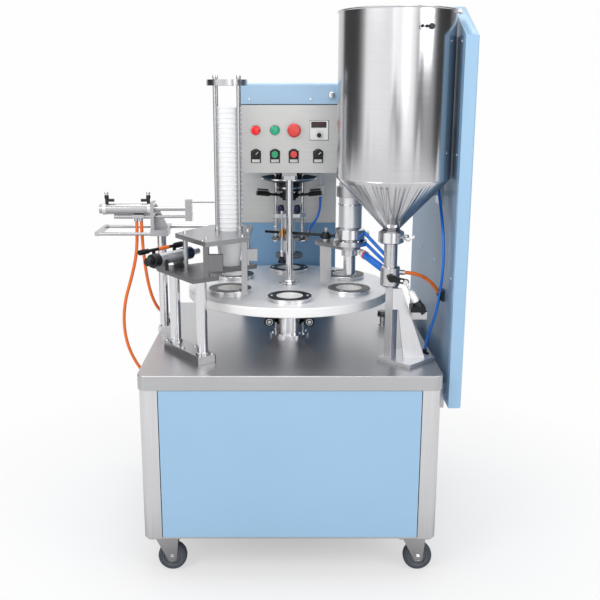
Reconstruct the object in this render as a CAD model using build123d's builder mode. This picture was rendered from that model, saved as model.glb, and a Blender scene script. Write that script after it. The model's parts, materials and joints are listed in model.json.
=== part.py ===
from build123d import *
import os
from math import cos, hypot, radians, sin, tan

# Rotary cup filling and sealing machine, in millimetres. The origin is on the floor under the
# turntable's axis, X runs to the operator's right, Y runs away from the operator, Z runs up.

os.makedirs("parts", exist_ok=True)

# Table cabinet
table_width = 800.0
table_depth = 800.0
table_top = 585.0
tray_height = 40.0
tray_wall = 3.0
tray_corner = 25.0
tray_overhang = 3.0
post_leg = 50.0
sheet = 2.0
panel_fold = 14.0
panel_joint = 2.0
pan_height = 30.0
pan_sheet = 4.0

# Casters
caster_height = 118.0
wheel_diameter = 80.0
wheel_width = 30.0
caster_plate = 92.0
caster_plate_thickness = 6.0
caster_inset = 55.0
caster_trail = 15.0
kingpin_diameter = 12.0
fork_wall = 3.0
axle_diameter = 10.0

# Turntable, heights above the table top
disc_radius = 300.0
disc_thickness = 27.0
disc_top = 155.0
stations = 6
pitch_radius = 198.0
ring_diameter = 124.0
ring_height = 12.0
ring_top_diameter = 104.0
spigot_diameter = 92.0
cup_bore = 72.0
hub_radius = 43.0
hub_flange_radius = 58.0
hub_height = 96.0
shaft_diameter = 30.0
shaft_flange_radius = 40.0
centre_post_diameter = 20.0
centre_post_top = 474.0
indexer_size = (200.0, 160.0, 130.0)
motor_radius = 60.0
motor_length = 190.0

# Rear column and control box
column_half_width = 155.0
column_front = 310.0
column_back = 390.0
recess_bottom = 295.0
head_front = 84.0
head_bottom = 479.0
head_top = 678.0
cap_top = 741.0

# Sealing station
seal_flange_radius = 62.0
seal_body_radius = 32.0
seal_neck_radius = 22.0
seal_neck_bottom = 384.0
ram_diameter = 16.0
guide_spacing = 84.0
guide_diameter = 10.0
crosshead_bottom = 330.0
crosshead_thickness = 12.0
head_column_diameter = 40.0
heater_diameter = 88.0
heater_thickness = 14.0
heater_bottom = 200.0
spring_wire = 2.4
spring_turns = 6
spring_length = 62.0

# Fill station and hopper
fill_x = pitch_radius * cos(radians(30))
fill_y = -pitch_radius * sin(radians(30))
barrel_diameter = 65.0
barrel_wall = 3.0
barrel_bottom = 344.0
barrel_top = 470.0
barrel_clamp_diameter = 85.0
fill_flange_diameter = 98.0
fill_flange_bottom = 292.0
fill_flange_thickness = 14.0
nozzle_diameter = 34.0
nozzle_wall = 3.0
nozzle_bottom = 205.0
nozzle_guide_bottom = 262.0
hopper_x = 270.0
hopper_y = -250.0
hopper_radius = 148.0
hopper_wall = 2.0
hopper_shoulder = 497.0
hopper_rim = 913.0
rim_wire = 6.0
neck_radius = 23.0
neck_top = 364.0
clamp_bottom = 323.0
clamp_top = 358.0
hopper_clamp_diameter = 68.0
outlet_diameter = 36.0
valve_top = 262.0
valve_bottom = 206.0
valve_diameter = 52.0
stand_centre = (318.0, -262.0)
stand_plate = 112.0
stand_plate_thickness = 10.0
stand_post = 24.0
stand_post_x = 276.0

# Cup magazine
magazine_x = -pitch_radius * cos(radians(30))
magazine_y = -pitch_radius * sin(radians(30))
magazine_plate_bottom = 324.0
magazine_plate_thickness = 13.0
cage_radius = 45.0
cage_rod_diameter = 9.0
top_ring_bottom = 732.0
top_ring_thickness = 16.0
top_ring_diameter = 112.0
cup_rim_diameter = 78.0
cup_base_diameter = 56.0
cup_height = 108.0
cup_lip = 4.0
cup_count = 28
cup_pitch = 13.0
lower_plate_bottom = 226.0
lower_plate_thickness = 12.0
infeed_column_diameter = 30.0
infeed_column_left = (-325.0, -149.0)
infeed_column_front = (-238.0, -273.0)
foot_block = (208.0, 55.0, 22.0)

# Pusher unit
pusher_y = 40.0
pusher_column_x = -384.0
pusher_column_diameter = 27.0
pusher_column_top = 300.0
pusher_axis = 376.0
pusher_guide_axis = 353.0
pusher_plate_x = -402.0
pusher_body_diameter = 32.0
pusher_body_length = 150.0
pusher_rod_diameter = 12.0
pusher_guide_diameter = 9.0
pusher_reach = 106.0
rail_height = 306.0
rail_diameter = 10.0
rail_left = -571.0
rail_front_y = 6.0
rail_rear_y = 152.0

# Slanted feed cylinder
feed_back = (-372.0, -215.0)
feed_angle = 54.8
feed_height = 268.0
feed_body_diameter = 32.0
feed_body_length = 150.0
feed_rod_diameter = 10.0

# Side housing
housing_left = 426.0
housing_right = 458.0
housing_front = -348.0
housing_back = 400.0
housing_bottom = -108.0
housing_top = 930.0
housing_slope_run = 180.0
housing_slope_drop = 80.0

# Fits
running_gap = 0.05
free_gap = 0.4

T = table_top

# Hoses: outer diameter, then the corners of the route with heights above the table top
hose_routes = {
    "orange_hose_outer": (10.0, [
        (-456, 32, 341), (-456, 32, 290), (-464, 36, 225), (-482, 39, 160), (-503, 40, 95),
        (-511, 40, 25), (-503, 40, -45), (-478, 40, -105), (-445, 40, -150), (-411, 40, -172)]),
    "orange_hose_inner": (10.0, [
        (-442, 32, 341), (-442, 32, 290), (-439, 36, 230), (-434, 42, 170), (-426, 54, 115),
        (-414, 74, 70), (-398, 96, 42), (-385, 112, 15)]),
    "orange_hose_right": (10.0, [
        (310, -236, 240), (334, -233, 238), (358, -227, 229), (380, -220, 215), (397, -214, 198),
        (409, -211, 178)]),
    "blue_hose_side": (8.0, [
        (410, -110, 590), (409, -111, 545), (408, -128, 495), (407, -175, 440), (408, -225, 385),
        (409, -258, 330), (410, -262, 270), (410, -248, 218), (410, -230, 179), (406, -222, 140),
        (398, -214, 95), (385, -206, 52), (380, -205, 15)]),
    "blue_hose_head": (8.0, [
        (100, 222, 392), (100, 222, 362), (95, 218, 336), (84, 212, 314), (72, 204, 302), (64, 198, 286)]),
}


def save(builder, name):
    """Labels a finished piece and writes its file."""
    builder.part.label = name
    export_step(builder.part, f"parts/{name}.step")


def save_group(builders, name):
    """Writes several pieces that share one node, each as its own solid."""
    group = Compound(label=name, children=[builder.part for builder in builders])
    export_step(group, f"parts/{name}.step")


def bar(start, direction, radius, length, mode=Mode.ADD):
    """Adds a round bar to the piece being built."""
    with BuildSketch(Plane(origin=start, z_dir=direction)) as section:
        Circle(radius)
    extrude(section.sketch, amount=length, mode=mode)


def block(low, high, mode=Mode.ADD):
    """Adds a rectangular block between two corners."""
    middle = ((low[0] + high[0]) / 2, (low[1] + high[1]) / 2, low[2])
    with BuildSketch(Plane(origin=middle)) as section:
        Rectangle(high[0] - low[0], high[1] - low[1])
    extrude(section.sketch, amount=high[2] - low[2], mode=mode)


def turned(origin, profile, along=(0, 0, 1), across=(1, 0, 0), mode=Mode.ADD):
    """Adds a turned shape: profile points are (radius, distance along the axis)."""
    along = Vector(*along)
    across = Vector(*across)
    with BuildSketch(Plane(origin=origin, x_dir=across, z_dir=across.cross(along))) as section:
        with BuildLine():
            Polyline(*profile, close=True)
        make_face()
    revolve(section.sketch, axis=Axis(origin, along), mode=mode)


def outline(points, bottom, height, mode=Mode.ADD):
    """Adds a flat plate with the given outline."""
    with BuildSketch(Plane.XY.offset(bottom)) as section:
        with BuildLine():
            Polyline(*points, close=True)
        make_face()
    extrude(section.sketch, amount=height, mode=mode)


def nipple(name, radius, length, last=True):
    """Adds a round fitting that carries on from one end of a hose."""
    corners = hose_routes[name][1]
    tip, before = (corners[-1], corners[-2]) if last else (corners[0], corners[1])
    way = tuple(a - b for a, b in zip(tip, before))
    bar((tip[0], tip[1], T + tip[2]), way, radius, length)


# Cabinet: pan, corner posts, panels and tray
body_half_x = table_width / 2 - tray_overhang
body_half_y = table_depth / 2 - tray_overhang
body_top = T - tray_height
body_height = body_top - caster_height

inner_x = 2 * (body_half_x - sheet)
inner_y = 2 * (body_half_y - sheet)

with BuildPart() as floor_pan:
    with BuildSketch(Plane.XY.offset(caster_height)):
        RectangleRounded(inner_x, inner_y, tray_corner - sheet)
    extrude(amount=pan_sheet)
    upstand_x = inner_x - 2 * panel_fold
    upstand_y = inner_y - 2 * panel_fold
    with BuildSketch(Plane.XY.offset(caster_height + pan_sheet)):
        RectangleRounded(upstand_x, upstand_y, tray_corner - sheet)
        RectangleRounded(upstand_x - 2 * sheet, upstand_y - 2 * sheet, tray_corner - 2 * sheet,
                         mode=Mode.SUBTRACT)
    extrude(amount=pan_height - pan_sheet)

with BuildPart() as corner_posts:
    with BuildSketch(Plane.XY.offset(caster_height)):
        RectangleRounded(2 * body_half_x, 2 * body_half_y, tray_corner)
        RectangleRounded(inner_x, inner_y, tray_corner - sheet, mode=Mode.SUBTRACT)
        Rectangle(2 * body_half_x + 2, 2 * (body_half_y - post_leg), mode=Mode.SUBTRACT)
        Rectangle(2 * (body_half_x - post_leg), 2 * body_half_y + 2, mode=Mode.SUBTRACT)
    extrude(amount=body_height)
save_group([floor_pan, corner_posts], "cabinet_frame")

panel_bottom = caster_height + pan_sheet + panel_joint / 2
panel_height = body_top - panel_joint / 2 - panel_bottom
panel_middle = panel_bottom + panel_height / 2


def panel(half_width, plane):
    """Makes one cover panel: a shallow folded tray facing out along the plane's normal."""
    width = 2 * (half_width - post_leg - panel_joint)
    with BuildPart() as cover:
        with BuildSketch(plane) as face:
            Rectangle(width, panel_height)
        extrude(face.sketch, amount=-panel_fold)
        with BuildSketch(plane.offset(-sheet)) as hollow:
            Rectangle(width - 2 * sheet, panel_height - 2 * sheet)
        extrude(hollow.sketch, amount=-panel_fold, mode=Mode.SUBTRACT)
    return cover


front_face = Plane(origin=(0, -body_half_y, panel_middle), x_dir=(1, 0, 0), z_dir=(0, -1, 0))
back_face = Plane(origin=(0, body_half_y, panel_middle), x_dir=(-1, 0, 0), z_dir=(0, 1, 0))
left_face = Plane(origin=(-body_half_x, 0, panel_middle), x_dir=(0, -1, 0), z_dir=(-1, 0, 0))
right_face = Plane(origin=(body_half_x, 0, panel_middle), x_dir=(0, 1, 0), z_dir=(1, 0, 0))
covers = [panel(body_half_x, front_face), panel(body_half_x, back_face),
          panel(body_half_y, left_face), panel(body_half_y, right_face)]
with BuildPart() as side_gland:
    nipple("orange_hose_outer", 7, 11.5)
    bar((-body_half_x, 40, T - 178), (-1, 0, 0), 13, 5)
save_group([*covers, side_gland], "skin_panels")

tray_flange = 30.0
shaft_hole = shaft_diameter + 10
with BuildPart() as table_tray:
    with BuildSketch(Plane.XY.offset(body_top)):
        RectangleRounded(table_width, table_depth, tray_corner)
    extrude(amount=tray_height)
    with BuildSketch(Plane.XY.offset(body_top + tray_wall)):
        RectangleRounded(table_width - 2 * tray_wall, table_depth - 2 * tray_wall, tray_corner - tray_wall)
    extrude(amount=tray_height - 2 * tray_wall, mode=Mode.SUBTRACT)
    with BuildSketch(Plane.XY.offset(body_top)):
        RectangleRounded(table_width - 2 * tray_flange, table_depth - 2 * tray_flange, tray_corner)
    extrude(amount=tray_wall, mode=Mode.SUBTRACT)
    bar((0, 0, T - tray_wall), (0, 0, 1), shaft_hole / 2, tray_wall, mode=Mode.SUBTRACT)
    top_edges = table_tray.edges().group_by(Axis.Z)[-1].filter_by(lambda e: e.length > shaft_hole * 4)
    fillet(top_edges, tray_wall * 0.8)
with BuildPart() as inner_gland:
    nipple("orange_hose_inner", 7, 12)
    bar((-380, 118, T), (0, 0, 1), 13, 6)
with BuildPart() as blue_gland:
    nipple("blue_hose_side", 6, 12)
    bar((379, -205, T), (0, 0, 1), 12, 5)
save_group([table_tray, inner_gland, blue_gland], "table_tray")

# Drive inside the cabinet: indexer, motor and valve bank
index_x, index_y, index_z = indexer_size
index_top = T - tray_wall
output_pad = 12.0
with BuildPart() as indexer_box:
    block((-index_x / 2, -index_y / 2, index_top - output_pad - index_z),
          (index_x / 2, index_y / 2, index_top - output_pad))
    fillet(indexer_box.edges().filter_by(Axis.Z), 12)
    bar((0, 0, index_top - output_pad), (0, 0, 1), 60, output_pad)
    bar((0, 0, index_top), (0, 0, -1), shaft_diameter / 2 + running_gap, 80, mode=Mode.SUBTRACT)

motor_axis = index_top - output_pad - index_z / 2
with BuildPart() as drive_motor:
    start = (-index_x / 2, 0, motor_axis)
    turned(start, [(0, 0), (50, 0), (50, 14), (40, 14), (40, 40), (motor_radius, 52),
                   (motor_radius, motor_length - 40), (motor_radius - 6, motor_length - 36),
                   (motor_radius - 6, motor_length - 8), (motor_radius - 14, motor_length),
                   (0, motor_length)], along=(-1, 0, 0), across=(0, 1, 0))
    block((-index_x / 2 - 140, -30, motor_axis - 86), (-index_x / 2 - 70, 30, motor_axis - 40))

with BuildPart() as valve_bank:
    bank_z = caster_height + pan_height
    block((60, 60, caster_height + pan_sheet), (300, 150, bank_z + 12))
    for k in range(5):
        x = 78 + 44 * k
        block((x, 66, bank_z + 12), (x + 30, 144, bank_z + 62))
save_group([indexer_box, drive_motor, valve_bank], "cabinet_drive")

# Casters: four top plates, then a fork and a wheel for each
wheel_radius = wheel_diameter / 2
corner_x = body_half_x - caster_inset
corner_y = body_half_y - caster_inset
caster_places = {"front_left": (-corner_x, -corner_y), "front_right": (corner_x, -corner_y),
                 "back_left": (-corner_x, corner_y), "back_right": (corner_x, corner_y)}
plate_bottom = caster_height - caster_plate_thickness
race_depth = 7.0
with BuildPart() as caster_plates:
    for x, y in caster_places.values():
        with BuildSketch(Plane.XY.offset(plate_bottom)) as plate_shape:
            with Locations((x, y)):
                RectangleRounded(caster_plate, caster_plate, 8)
                with GridLocations(caster_plate - 24, caster_plate - 24, 2, 2):
                    Circle(4.5, mode=Mode.SUBTRACT)
        extrude(plate_shape.sketch, amount=caster_plate_thickness)
        bar((x, y, plate_bottom), (0, 0, -1), 31, race_depth)
        bar((x, y, plate_bottom - race_depth), (0, 0, -1), kingpin_diameter / 2, 9)
save(caster_plates, "caster_plates")

fork_top = plate_bottom - race_depth - free_gap
fork_gap = wheel_width / 2 + 2
for corner, (x, y) in caster_places.items():
    axle_x = x + caster_trail
    with BuildPart() as fork:
        crown_edge = [(x - 30, fork_top - fork_wall), (x + 34, fork_top - fork_wall), (axle_x + 13, wheel_radius),
                      (axle_x + 9, wheel_radius - 11), (axle_x - 9, wheel_radius - 11),
                      (axle_x - 14, wheel_radius)]
        for side in (-1, 1):
            inner = y + side * fork_gap
            leg_plane = Plane(origin=(0, inner, 0), x_dir=(1, 0, 0), z_dir=(0, -1, 0))
            with BuildSketch(leg_plane) as leg:
                with BuildLine():
                    Polyline(*crown_edge, close=True)
                make_face()
            extrude(leg.sketch, amount=-side * fork_wall)
        with BuildSketch(Plane.XY.offset(fork_top - fork_wall)) as crown:
            with Locations((x + 2, y)):
                RectangleRounded(64, 2 * (fork_gap + fork_wall), 12)
        extrude(crown.sketch, amount=fork_wall)
        bar((x, y, fork_top), (0, 0, -1), kingpin_diameter / 2 + running_gap, fork_wall, mode=Mode.SUBTRACT)
        bar((axle_x, y - fork_gap - fork_wall - 5, wheel_radius), (0, 1, 0), axle_diameter / 2,
            2 * (fork_gap + fork_wall + 5))
    save(fork, f"caster_fork_{corner}")
    with BuildPart() as wheel:
        half = wheel_width / 2
        turned((axle_x, y, wheel_radius),
               [(axle_diameter / 2 + running_gap, -half), (11, -half), (11, -half + 4), (26, -half + 4),
                (28, -half), (wheel_radius - 6, -half), (wheel_radius, -half + 6), (wheel_radius, half - 6),
                (wheel_radius - 6, half), (28, half), (26, half - 4), (11, half - 4), (11, half),
                (axle_diameter / 2 + running_gap, half)],
               along=(0, 1, 0), across=(1, 0, 0))
    save(wheel, f"caster_wheel_{corner}")

# Turntable, its hub, shaft and pocket rings
disc_bottom = T + disc_top - disc_thickness
with BuildPart() as bearing_hub:
    bore = shaft_diameter / 2 + running_gap
    turned((0, 0, T), [(bore, 0), (hub_flange_radius, 0), (hub_flange_radius, 8), (hub_radius, 8),
                       (hub_radius, hub_height - 2), (hub_radius - 2, hub_height), (bore, hub_height)])

sensor_radius = 15.0
sensor_height = 46.0
sensor_standoff = 17.0
with BuildPart() as hub_sensors:
    for side in (-1, 1):
        x = side * (hub_radius + sensor_standoff)
        block((min(x, side * hub_radius), -12, T + sensor_height - 8),
              (max(x, side * hub_radius), 0, T + sensor_height + 8))
        turned((x, 0, T + sensor_height), [(0, 0), (8, 0), (8, 14), (sensor_radius, 16), (sensor_radius, 30),
                                           (10, 34), (0, 34)], along=(0, -1, 0))
save_group([bearing_hub, hub_sensors], "bearing_hub")

shaft_flange = disc_bottom - T - hub_height - free_gap
with BuildPart() as turntable_shaft:
    shaft_low = index_top - 76
    post_radius = centre_post_diameter / 2
    turned((0, 0, shaft_low), [(0, 0), (shaft_diameter / 2, 0), (shaft_diameter / 2, disc_bottom - shaft_flange - shaft_low),
                               (shaft_flange_radius, disc_bottom - shaft_flange - shaft_low),
                               (shaft_flange_radius, disc_bottom - shaft_low),
                               (shaft_diameter / 2, disc_bottom - shaft_low),
                               (shaft_diameter / 2, T + disc_top + 10 - shaft_low),
                               (post_radius, T + disc_top + 14 - shaft_low),
                               (post_radius, T + centre_post_top - shaft_low), (0, T + centre_post_top - shaft_low)])
save(turntable_shaft, "turntable_shaft")

with BuildPart() as turntable:
    turned((0, 0, disc_bottom), [(0, 0), (disc_radius - 2, 0), (disc_radius, 2), (disc_radius, disc_thickness - 2),
                                 (disc_radius - 2, disc_thickness), (0, disc_thickness)])
    with BuildSketch(Plane.XY.offset(disc_bottom)) as holes:
        Circle(shaft_diameter / 2)
        with PolarLocations(pitch_radius, stations, start_angle=30):
            Circle(spigot_diameter / 2)
    extrude(holes.sketch, amount=disc_thickness, mode=Mode.SUBTRACT)
save(turntable, "turntable")

with BuildPart() as pocket_rings:
    ring_profile = [(cup_bore / 2, -disc_thickness), (spigot_diameter / 2, -disc_thickness),
                    (spigot_diameter / 2, 0), (ring_diameter / 2, 0), (ring_diameter / 2, 2),
                    (ring_top_diameter / 2, ring_height), (cup_bore / 2, ring_height)]
    for k in range(stations):
        turn = radians(30 + 360 / stations * k)
        turned((pitch_radius * cos(turn), pitch_radius * sin(turn), T + disc_top), ring_profile)
save(pocket_rings, "pocket_rings")

# Rear column, control box, cap and covers
with BuildPart() as rear_housing:
    side = [(column_front, 0), (column_front, head_bottom), (head_front, head_bottom), (head_front, head_top),
            (column_back, head_top), (column_back, 0)]
    inside = [(column_front + sheet, sheet), (column_front + sheet, head_bottom + sheet),
              (head_front + sheet, head_bottom + sheet), (head_front + sheet, head_top - sheet),
              (column_back + sheet, head_top - sheet), (column_back + sheet, sheet)]
    side_plane = Plane(origin=(0, 0, T), x_dir=(0, 1, 0), z_dir=(1, 0, 0))
    with BuildSketch(side_plane) as skin:
        with BuildLine():
            Polyline(*side, close=True)
        make_face()
    extrude(skin.sketch, amount=column_half_width, both=True)
    with BuildSketch(side_plane) as room:
        with BuildLine():
            Polyline(*inside, close=True)
        make_face()
    extrude(room.sketch, amount=column_half_width - sheet, both=True, mode=Mode.SUBTRACT)

# Places on the control panel: sideways, and height above the table top
panel_hole = 22.0
lamp_row = 605.0
button_row = 535.0
lamp_places = {"red": -100.0, "green": -43.0}
stop_x = 14.0
selector_places = (-100.0, 86.0)
push_places = (-43.0, 13.0)
meter_x = 88.0
meter_size = (54.0, 56.0)
panel_front = head_front - sheet
hole_places = [(x, lamp_row) for x in (*lamp_places.values(), stop_x)]
hole_places += [(x, button_row) for x in (*selector_places, *push_places)]


def panel_holes():
    """Cuts the operator holes through the piece being built."""
    for x, z in hole_places:
        bar((x, panel_front - 1, T + z), (0, 1, 0), panel_hole / 2, 2 * sheet + 2, mode=Mode.SUBTRACT)


with rear_housing:
    panel_holes()
save(rear_housing, "rear_housing")

with BuildPart() as control_panel:
    block((-column_half_width, panel_front, T + head_bottom), (column_half_width, head_front, T + head_top))
    panel_holes()

with BuildPart() as recess_plate:
    block((-column_half_width, column_front - sheet, T + recess_bottom),
          (column_half_width, column_front, T + head_bottom))

with BuildPart() as back_cover:
    block((-column_half_width, column_back, T), (column_half_width, column_back + sheet, T + head_top))
save_group([control_panel, recess_plate, back_cover], "control_panel")

with BuildPart() as top_cap:
    low = T + head_top
    high = T + cap_top
    block((-column_half_width, panel_front, low), (column_half_width, column_back + sheet, high))
    fillet(top_cap.edges().group_by(Axis.Z)[-1], 8)
    block((-column_half_width + sheet, panel_front + sheet, low), (column_half_width - sheet, column_back, high - sheet * 4),
          mode=Mode.SUBTRACT)
save(top_cap, "top_cap")

# Fixed parts of the lamps and operators
bezel_diameter = 29.0
bezel_depth = 8.0
legend_width = 30.0
legend_height = 47.0
legend_thickness = 1.5
with BuildPart() as panel_fittings:
    for x, z in hole_places:
        lamp = z == lamp_row and x != stop_x
        face = panel_front if z == lamp_row else panel_front - legend_thickness
        depth = face - panel_front
        profile = [(7, -24 + depth), (panel_hole / 2 - 0.3, -24 + depth), (panel_hole / 2 - 0.3, 0),
                   (bezel_diameter / 2, 0), (bezel_diameter / 2, bezel_depth - 2),
                   (bezel_diameter / 2 - 2, bezel_depth), (7, bezel_depth)]
        if lamp:
            profile = [(0, -24)] + profile[1:-1] + [(10, bezel_depth), (8, bezel_depth + 5), (0, bezel_depth + 7)]
        turned((x, face, T + z), profile, along=(0, -1, 0))
save(panel_fittings, "panel_fittings")

with BuildPart() as legend_plates:
    plate_plane = Plane(origin=(0, panel_front, T + button_row), x_dir=(1, 0, 0), z_dir=(0, -1, 0))
    for x in (*selector_places, *push_places):
        with BuildSketch(plate_plane) as legend:
            with Locations((x, -legend_height / 2 + legend_width / 2)):
                Rectangle(legend_width, legend_height - legend_width / 2 + 4)
            with Locations((x, 0)):
                Circle(legend_width / 2 + 0.5)
                Circle(panel_hole / 2, mode=Mode.SUBTRACT)
        extrude(legend.sketch, amount=legend_thickness)

meter_bottom = T + lamp_row - meter_size[1] / 2
with BuildPart() as speed_meter:
    block((meter_x - meter_size[0] / 2, panel_front - 6, meter_bottom),
          (meter_x + meter_size[0] / 2, panel_front, meter_bottom + meter_size[1]))
    fillet(speed_meter.edges().filter_by(Axis.Y), 3)
    knob_z = meter_bottom + 14
    bar((meter_x, panel_front - 6, knob_z), (0, 1, 0), 3 + running_gap, 5, mode=Mode.SUBTRACT)
save_group([legend_plates, speed_meter], "legend_plates")

# Moving operators on the control panel
stem = 6.5
push_travel = 4.0
with BuildPart() as e_stop_button:
    turned((stop_x, panel_front, T + lamp_row),
           [(0, -12), (stem, -12), (stem, bezel_depth + 5), (17, bezel_depth + 6), (20, bezel_depth + 10),
            (20, bezel_depth + 15), (16, bezel_depth + 21), (0, bezel_depth + 23)], along=(0, -1, 0))
save(e_stop_button, "e_stop_button")
for name, x in zip(("start_button", "stop_button"), push_places):
    with BuildPart() as button:
        turned((x, panel_front - legend_thickness, T + button_row),
               [(0, -12), (stem, -12), (stem, bezel_depth + 4.5), (10, bezel_depth + 4.5), (10, bezel_depth + 9),
                (9, bezel_depth + 10), (0, bezel_depth + 10)], along=(0, -1, 0))
    save(button, name)
for name, x in zip(("selector_left", "selector_right"), selector_places):
    with BuildPart() as selector:
        face = panel_front - legend_thickness
        turned((x, face, T + button_row), [(0, -12), (stem, -12), (stem, bezel_depth + 0.5),
                                           (12, bezel_depth + 0.5), (11, bezel_depth + 7), (0, bezel_depth + 7)],
               along=(0, -1, 0))
        grip_plane = Plane(origin=(x, face - bezel_depth - 7, T + button_row), x_dir=(1, 0, 1), z_dir=(0, -1, 0))
        with BuildSketch(grip_plane) as grip:
            SlotOverall(22, 7)
        extrude(grip.sketch, amount=9)
    save(selector, name)
with BuildPart() as speed_knob:
    turned((meter_x, panel_front - 6, knob_z), [(0, -5), (3, -5), (3, 0.5), (7, 0.5), (6.4, 10), (0, 10)],
           along=(0, -1, 0))
save(speed_knob, "speed_knob")

# Sealing station under the control box
seal_y = pitch_radius
seal = (0, seal_y)
flange_bottom = head_bottom - 8
post_bracket_depth = 12.0
with BuildPart() as post_bracket:
    bracket_low = T + head_bottom - post_bracket_depth
    block((-22, -22, bracket_low), (22, seal_y - seal_flange_radius - 4, T + head_bottom))
    fillet(post_bracket.edges().filter_by(Axis.Z), 10)
    bar((0, 0, bracket_low), (0, 0, 1), centre_post_diameter / 2 + running_gap,
        centre_post_top + 1 - head_bottom + post_bracket_depth, mode=Mode.SUBTRACT)

ram_radius = ram_diameter / 2
with BuildPart() as seal_cylinder:
    ram_bore = ram_radius + running_gap
    turned((*seal, T), [(ram_bore, seal_neck_bottom), (seal_neck_radius, seal_neck_bottom),
                        (seal_neck_radius, 430), (seal_body_radius, 434), (seal_body_radius, flange_bottom),
                        (seal_flange_radius, flange_bottom), (seal_flange_radius, head_bottom), (0, head_bottom),
                        (0, flange_bottom - 4), (ram_bore, flange_bottom - 4)])
save(seal_cylinder, "seal_cylinder")

dish_radius = 88.0
rod_radius = guide_diameter / 2
with BuildPart() as seal_dish:
    body = seal_body_radius + free_gap / 4
    turned((*seal, T), [(body, 440), (50, 440), (dish_radius, 452), (dish_radius, 456), (49, 444), (body, 444)])
    for side in (-1, 1):
        bar((side * guide_spacing / 2, seal_y, T + 430), (0, 0, 1), rod_radius + 1, 30, mode=Mode.SUBTRACT)

grip_length = 42.0
with BuildPart() as seal_bars:
    turned((*seal, T + 392), [(seal_neck_radius + free_gap / 4, 0), (30, 0), (30, 20),
                              (seal_neck_radius + free_gap / 4, 20)])
    for turn in (200, 340):
        out = (cos(radians(turn)), sin(radians(turn)), 0.12)
        bar((28 * out[0], seal_y + 28 * out[1], T + 400), out, 4, 42)
        bar((66 * out[0], seal_y + 66 * out[1], T + 404.5), out, 7, grip_length)
with BuildPart() as hanging_connector:
    x, y, z = hose_routes["blue_hose_head"][1][0]
    nipple("blue_hose_head", 6, 8, last=False)
    block((x - 12, y - 10, T + z + 8), (x + 12, y + 10, T + z + 34))
    bar((x, y, T + z + 34), (0, 0, 1), 5, head_bottom - z - 34)
save_group([post_bracket, seal_dish, seal_bars, hanging_connector], "head_fittings")

guide_plate_bottom = 258.0
guide_plate_thickness = 8.0
with BuildPart() as guide_rods:
    for side in (-1, 1):
        bar((side * guide_spacing / 2, seal_y, T + guide_plate_bottom - 8), (0, 0, 1), rod_radius,
            flange_bottom - guide_plate_bottom + 8)

with BuildPart() as guide_plate:
    with BuildSketch(Plane.XY.offset(T + guide_plate_bottom)) as tie:
        with Locations(seal):
            SlotOverall(guide_spacing + 26, 58)
            Circle(head_column_diameter / 2 + 2, mode=Mode.SUBTRACT)
            with Locations((-guide_spacing / 2, 0), (guide_spacing / 2, 0)):
                Circle(rod_radius, mode=Mode.SUBTRACT)
    extrude(tie.sketch, amount=guide_plate_thickness)
    block((49, 182, T + guide_plate_bottom), (67, 206, T + guide_plate_bottom + guide_plate_thickness))
    nipple("blue_hose_head", 6, 14)
    bar((57, 193, T + guide_plate_bottom), (0, 0, 1), 7, guide_plate_thickness + 6)
save_group([guide_rods, guide_plate], "guide_rods")

with BuildPart() as seal_head:
    with BuildSketch(Plane.XY.offset(T + crosshead_bottom)) as yoke:
        with Locations(seal):
            SlotOverall(guide_spacing + 24, 50)
            with Locations((-guide_spacing / 2, 0), (guide_spacing / 2, 0)):
                Circle(rod_radius + running_gap, mode=Mode.SUBTRACT)
    extrude(yoke.sketch, amount=crosshead_thickness)
    bar((*seal, T + crosshead_bottom + crosshead_thickness), (0, 0, 1), ram_radius, 112)
    column_bottom = heater_bottom + heater_thickness
    bar((*seal, T + column_bottom), (0, 0, 1), head_column_diameter / 2, crosshead_bottom - column_bottom)

with BuildPart() as seal_heater:
    edge = heater_diameter / 2
    turned((*seal, T + heater_bottom), [(0, 2), (edge - 14, 2), (edge - 12, 0), (edge - 2, 0), (edge, 2),
                                        (edge, heater_thickness - 3), (edge - 3, heater_thickness),
                                        (0, heater_thickness)])
save_group([seal_head, seal_heater], "seal_head")

spring_bottom = guide_plate_bottom + guide_plate_thickness
spring_height = crosshead_bottom - spring_bottom
spring_radius = rod_radius + 3.2
with BuildPart() as seal_springs:
    for side in (-1, 1):
        x = side * guide_spacing / 2
        pitch = (spring_height - spring_wire - 2) / spring_turns
        with BuildLine() as coil:
            Helix(pitch, pitch * spring_turns, spring_radius, center=(x, seal_y, T + spring_bottom + spring_wire / 2 + 1))
        with BuildSketch(Plane(origin=coil.line @ 0, z_dir=coil.line % 0)) as wire:
            RegularPolygon(spring_wire / 2, 6)
        sweep(wire.sketch, path=coil.line, is_frenet=True)
save(seal_springs, "seal_springs")

# Fill station: clamp, flange with its sleeve, barrel, piston and nozzle
fill = (fill_x, fill_y)
barrel_radius = barrel_diameter / 2
barrel_bore = barrel_radius - barrel_wall
nozzle_radius = nozzle_diameter / 2
flange_top = fill_flange_bottom + fill_flange_thickness
clamp_gap = 4.0
with BuildPart() as fill_head:
    sleeve = nozzle_radius + running_gap
    turned((*fill, T), [(sleeve, nozzle_guide_bottom), (nozzle_radius + 6, nozzle_guide_bottom),
                        (nozzle_radius + 6, fill_flange_bottom), (fill_flange_diameter / 2, fill_flange_bottom),
                        (fill_flange_diameter / 2, flange_top), (barrel_radius, flange_top),
                        (barrel_radius, barrel_bottom), (sleeve, barrel_bottom)])

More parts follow.
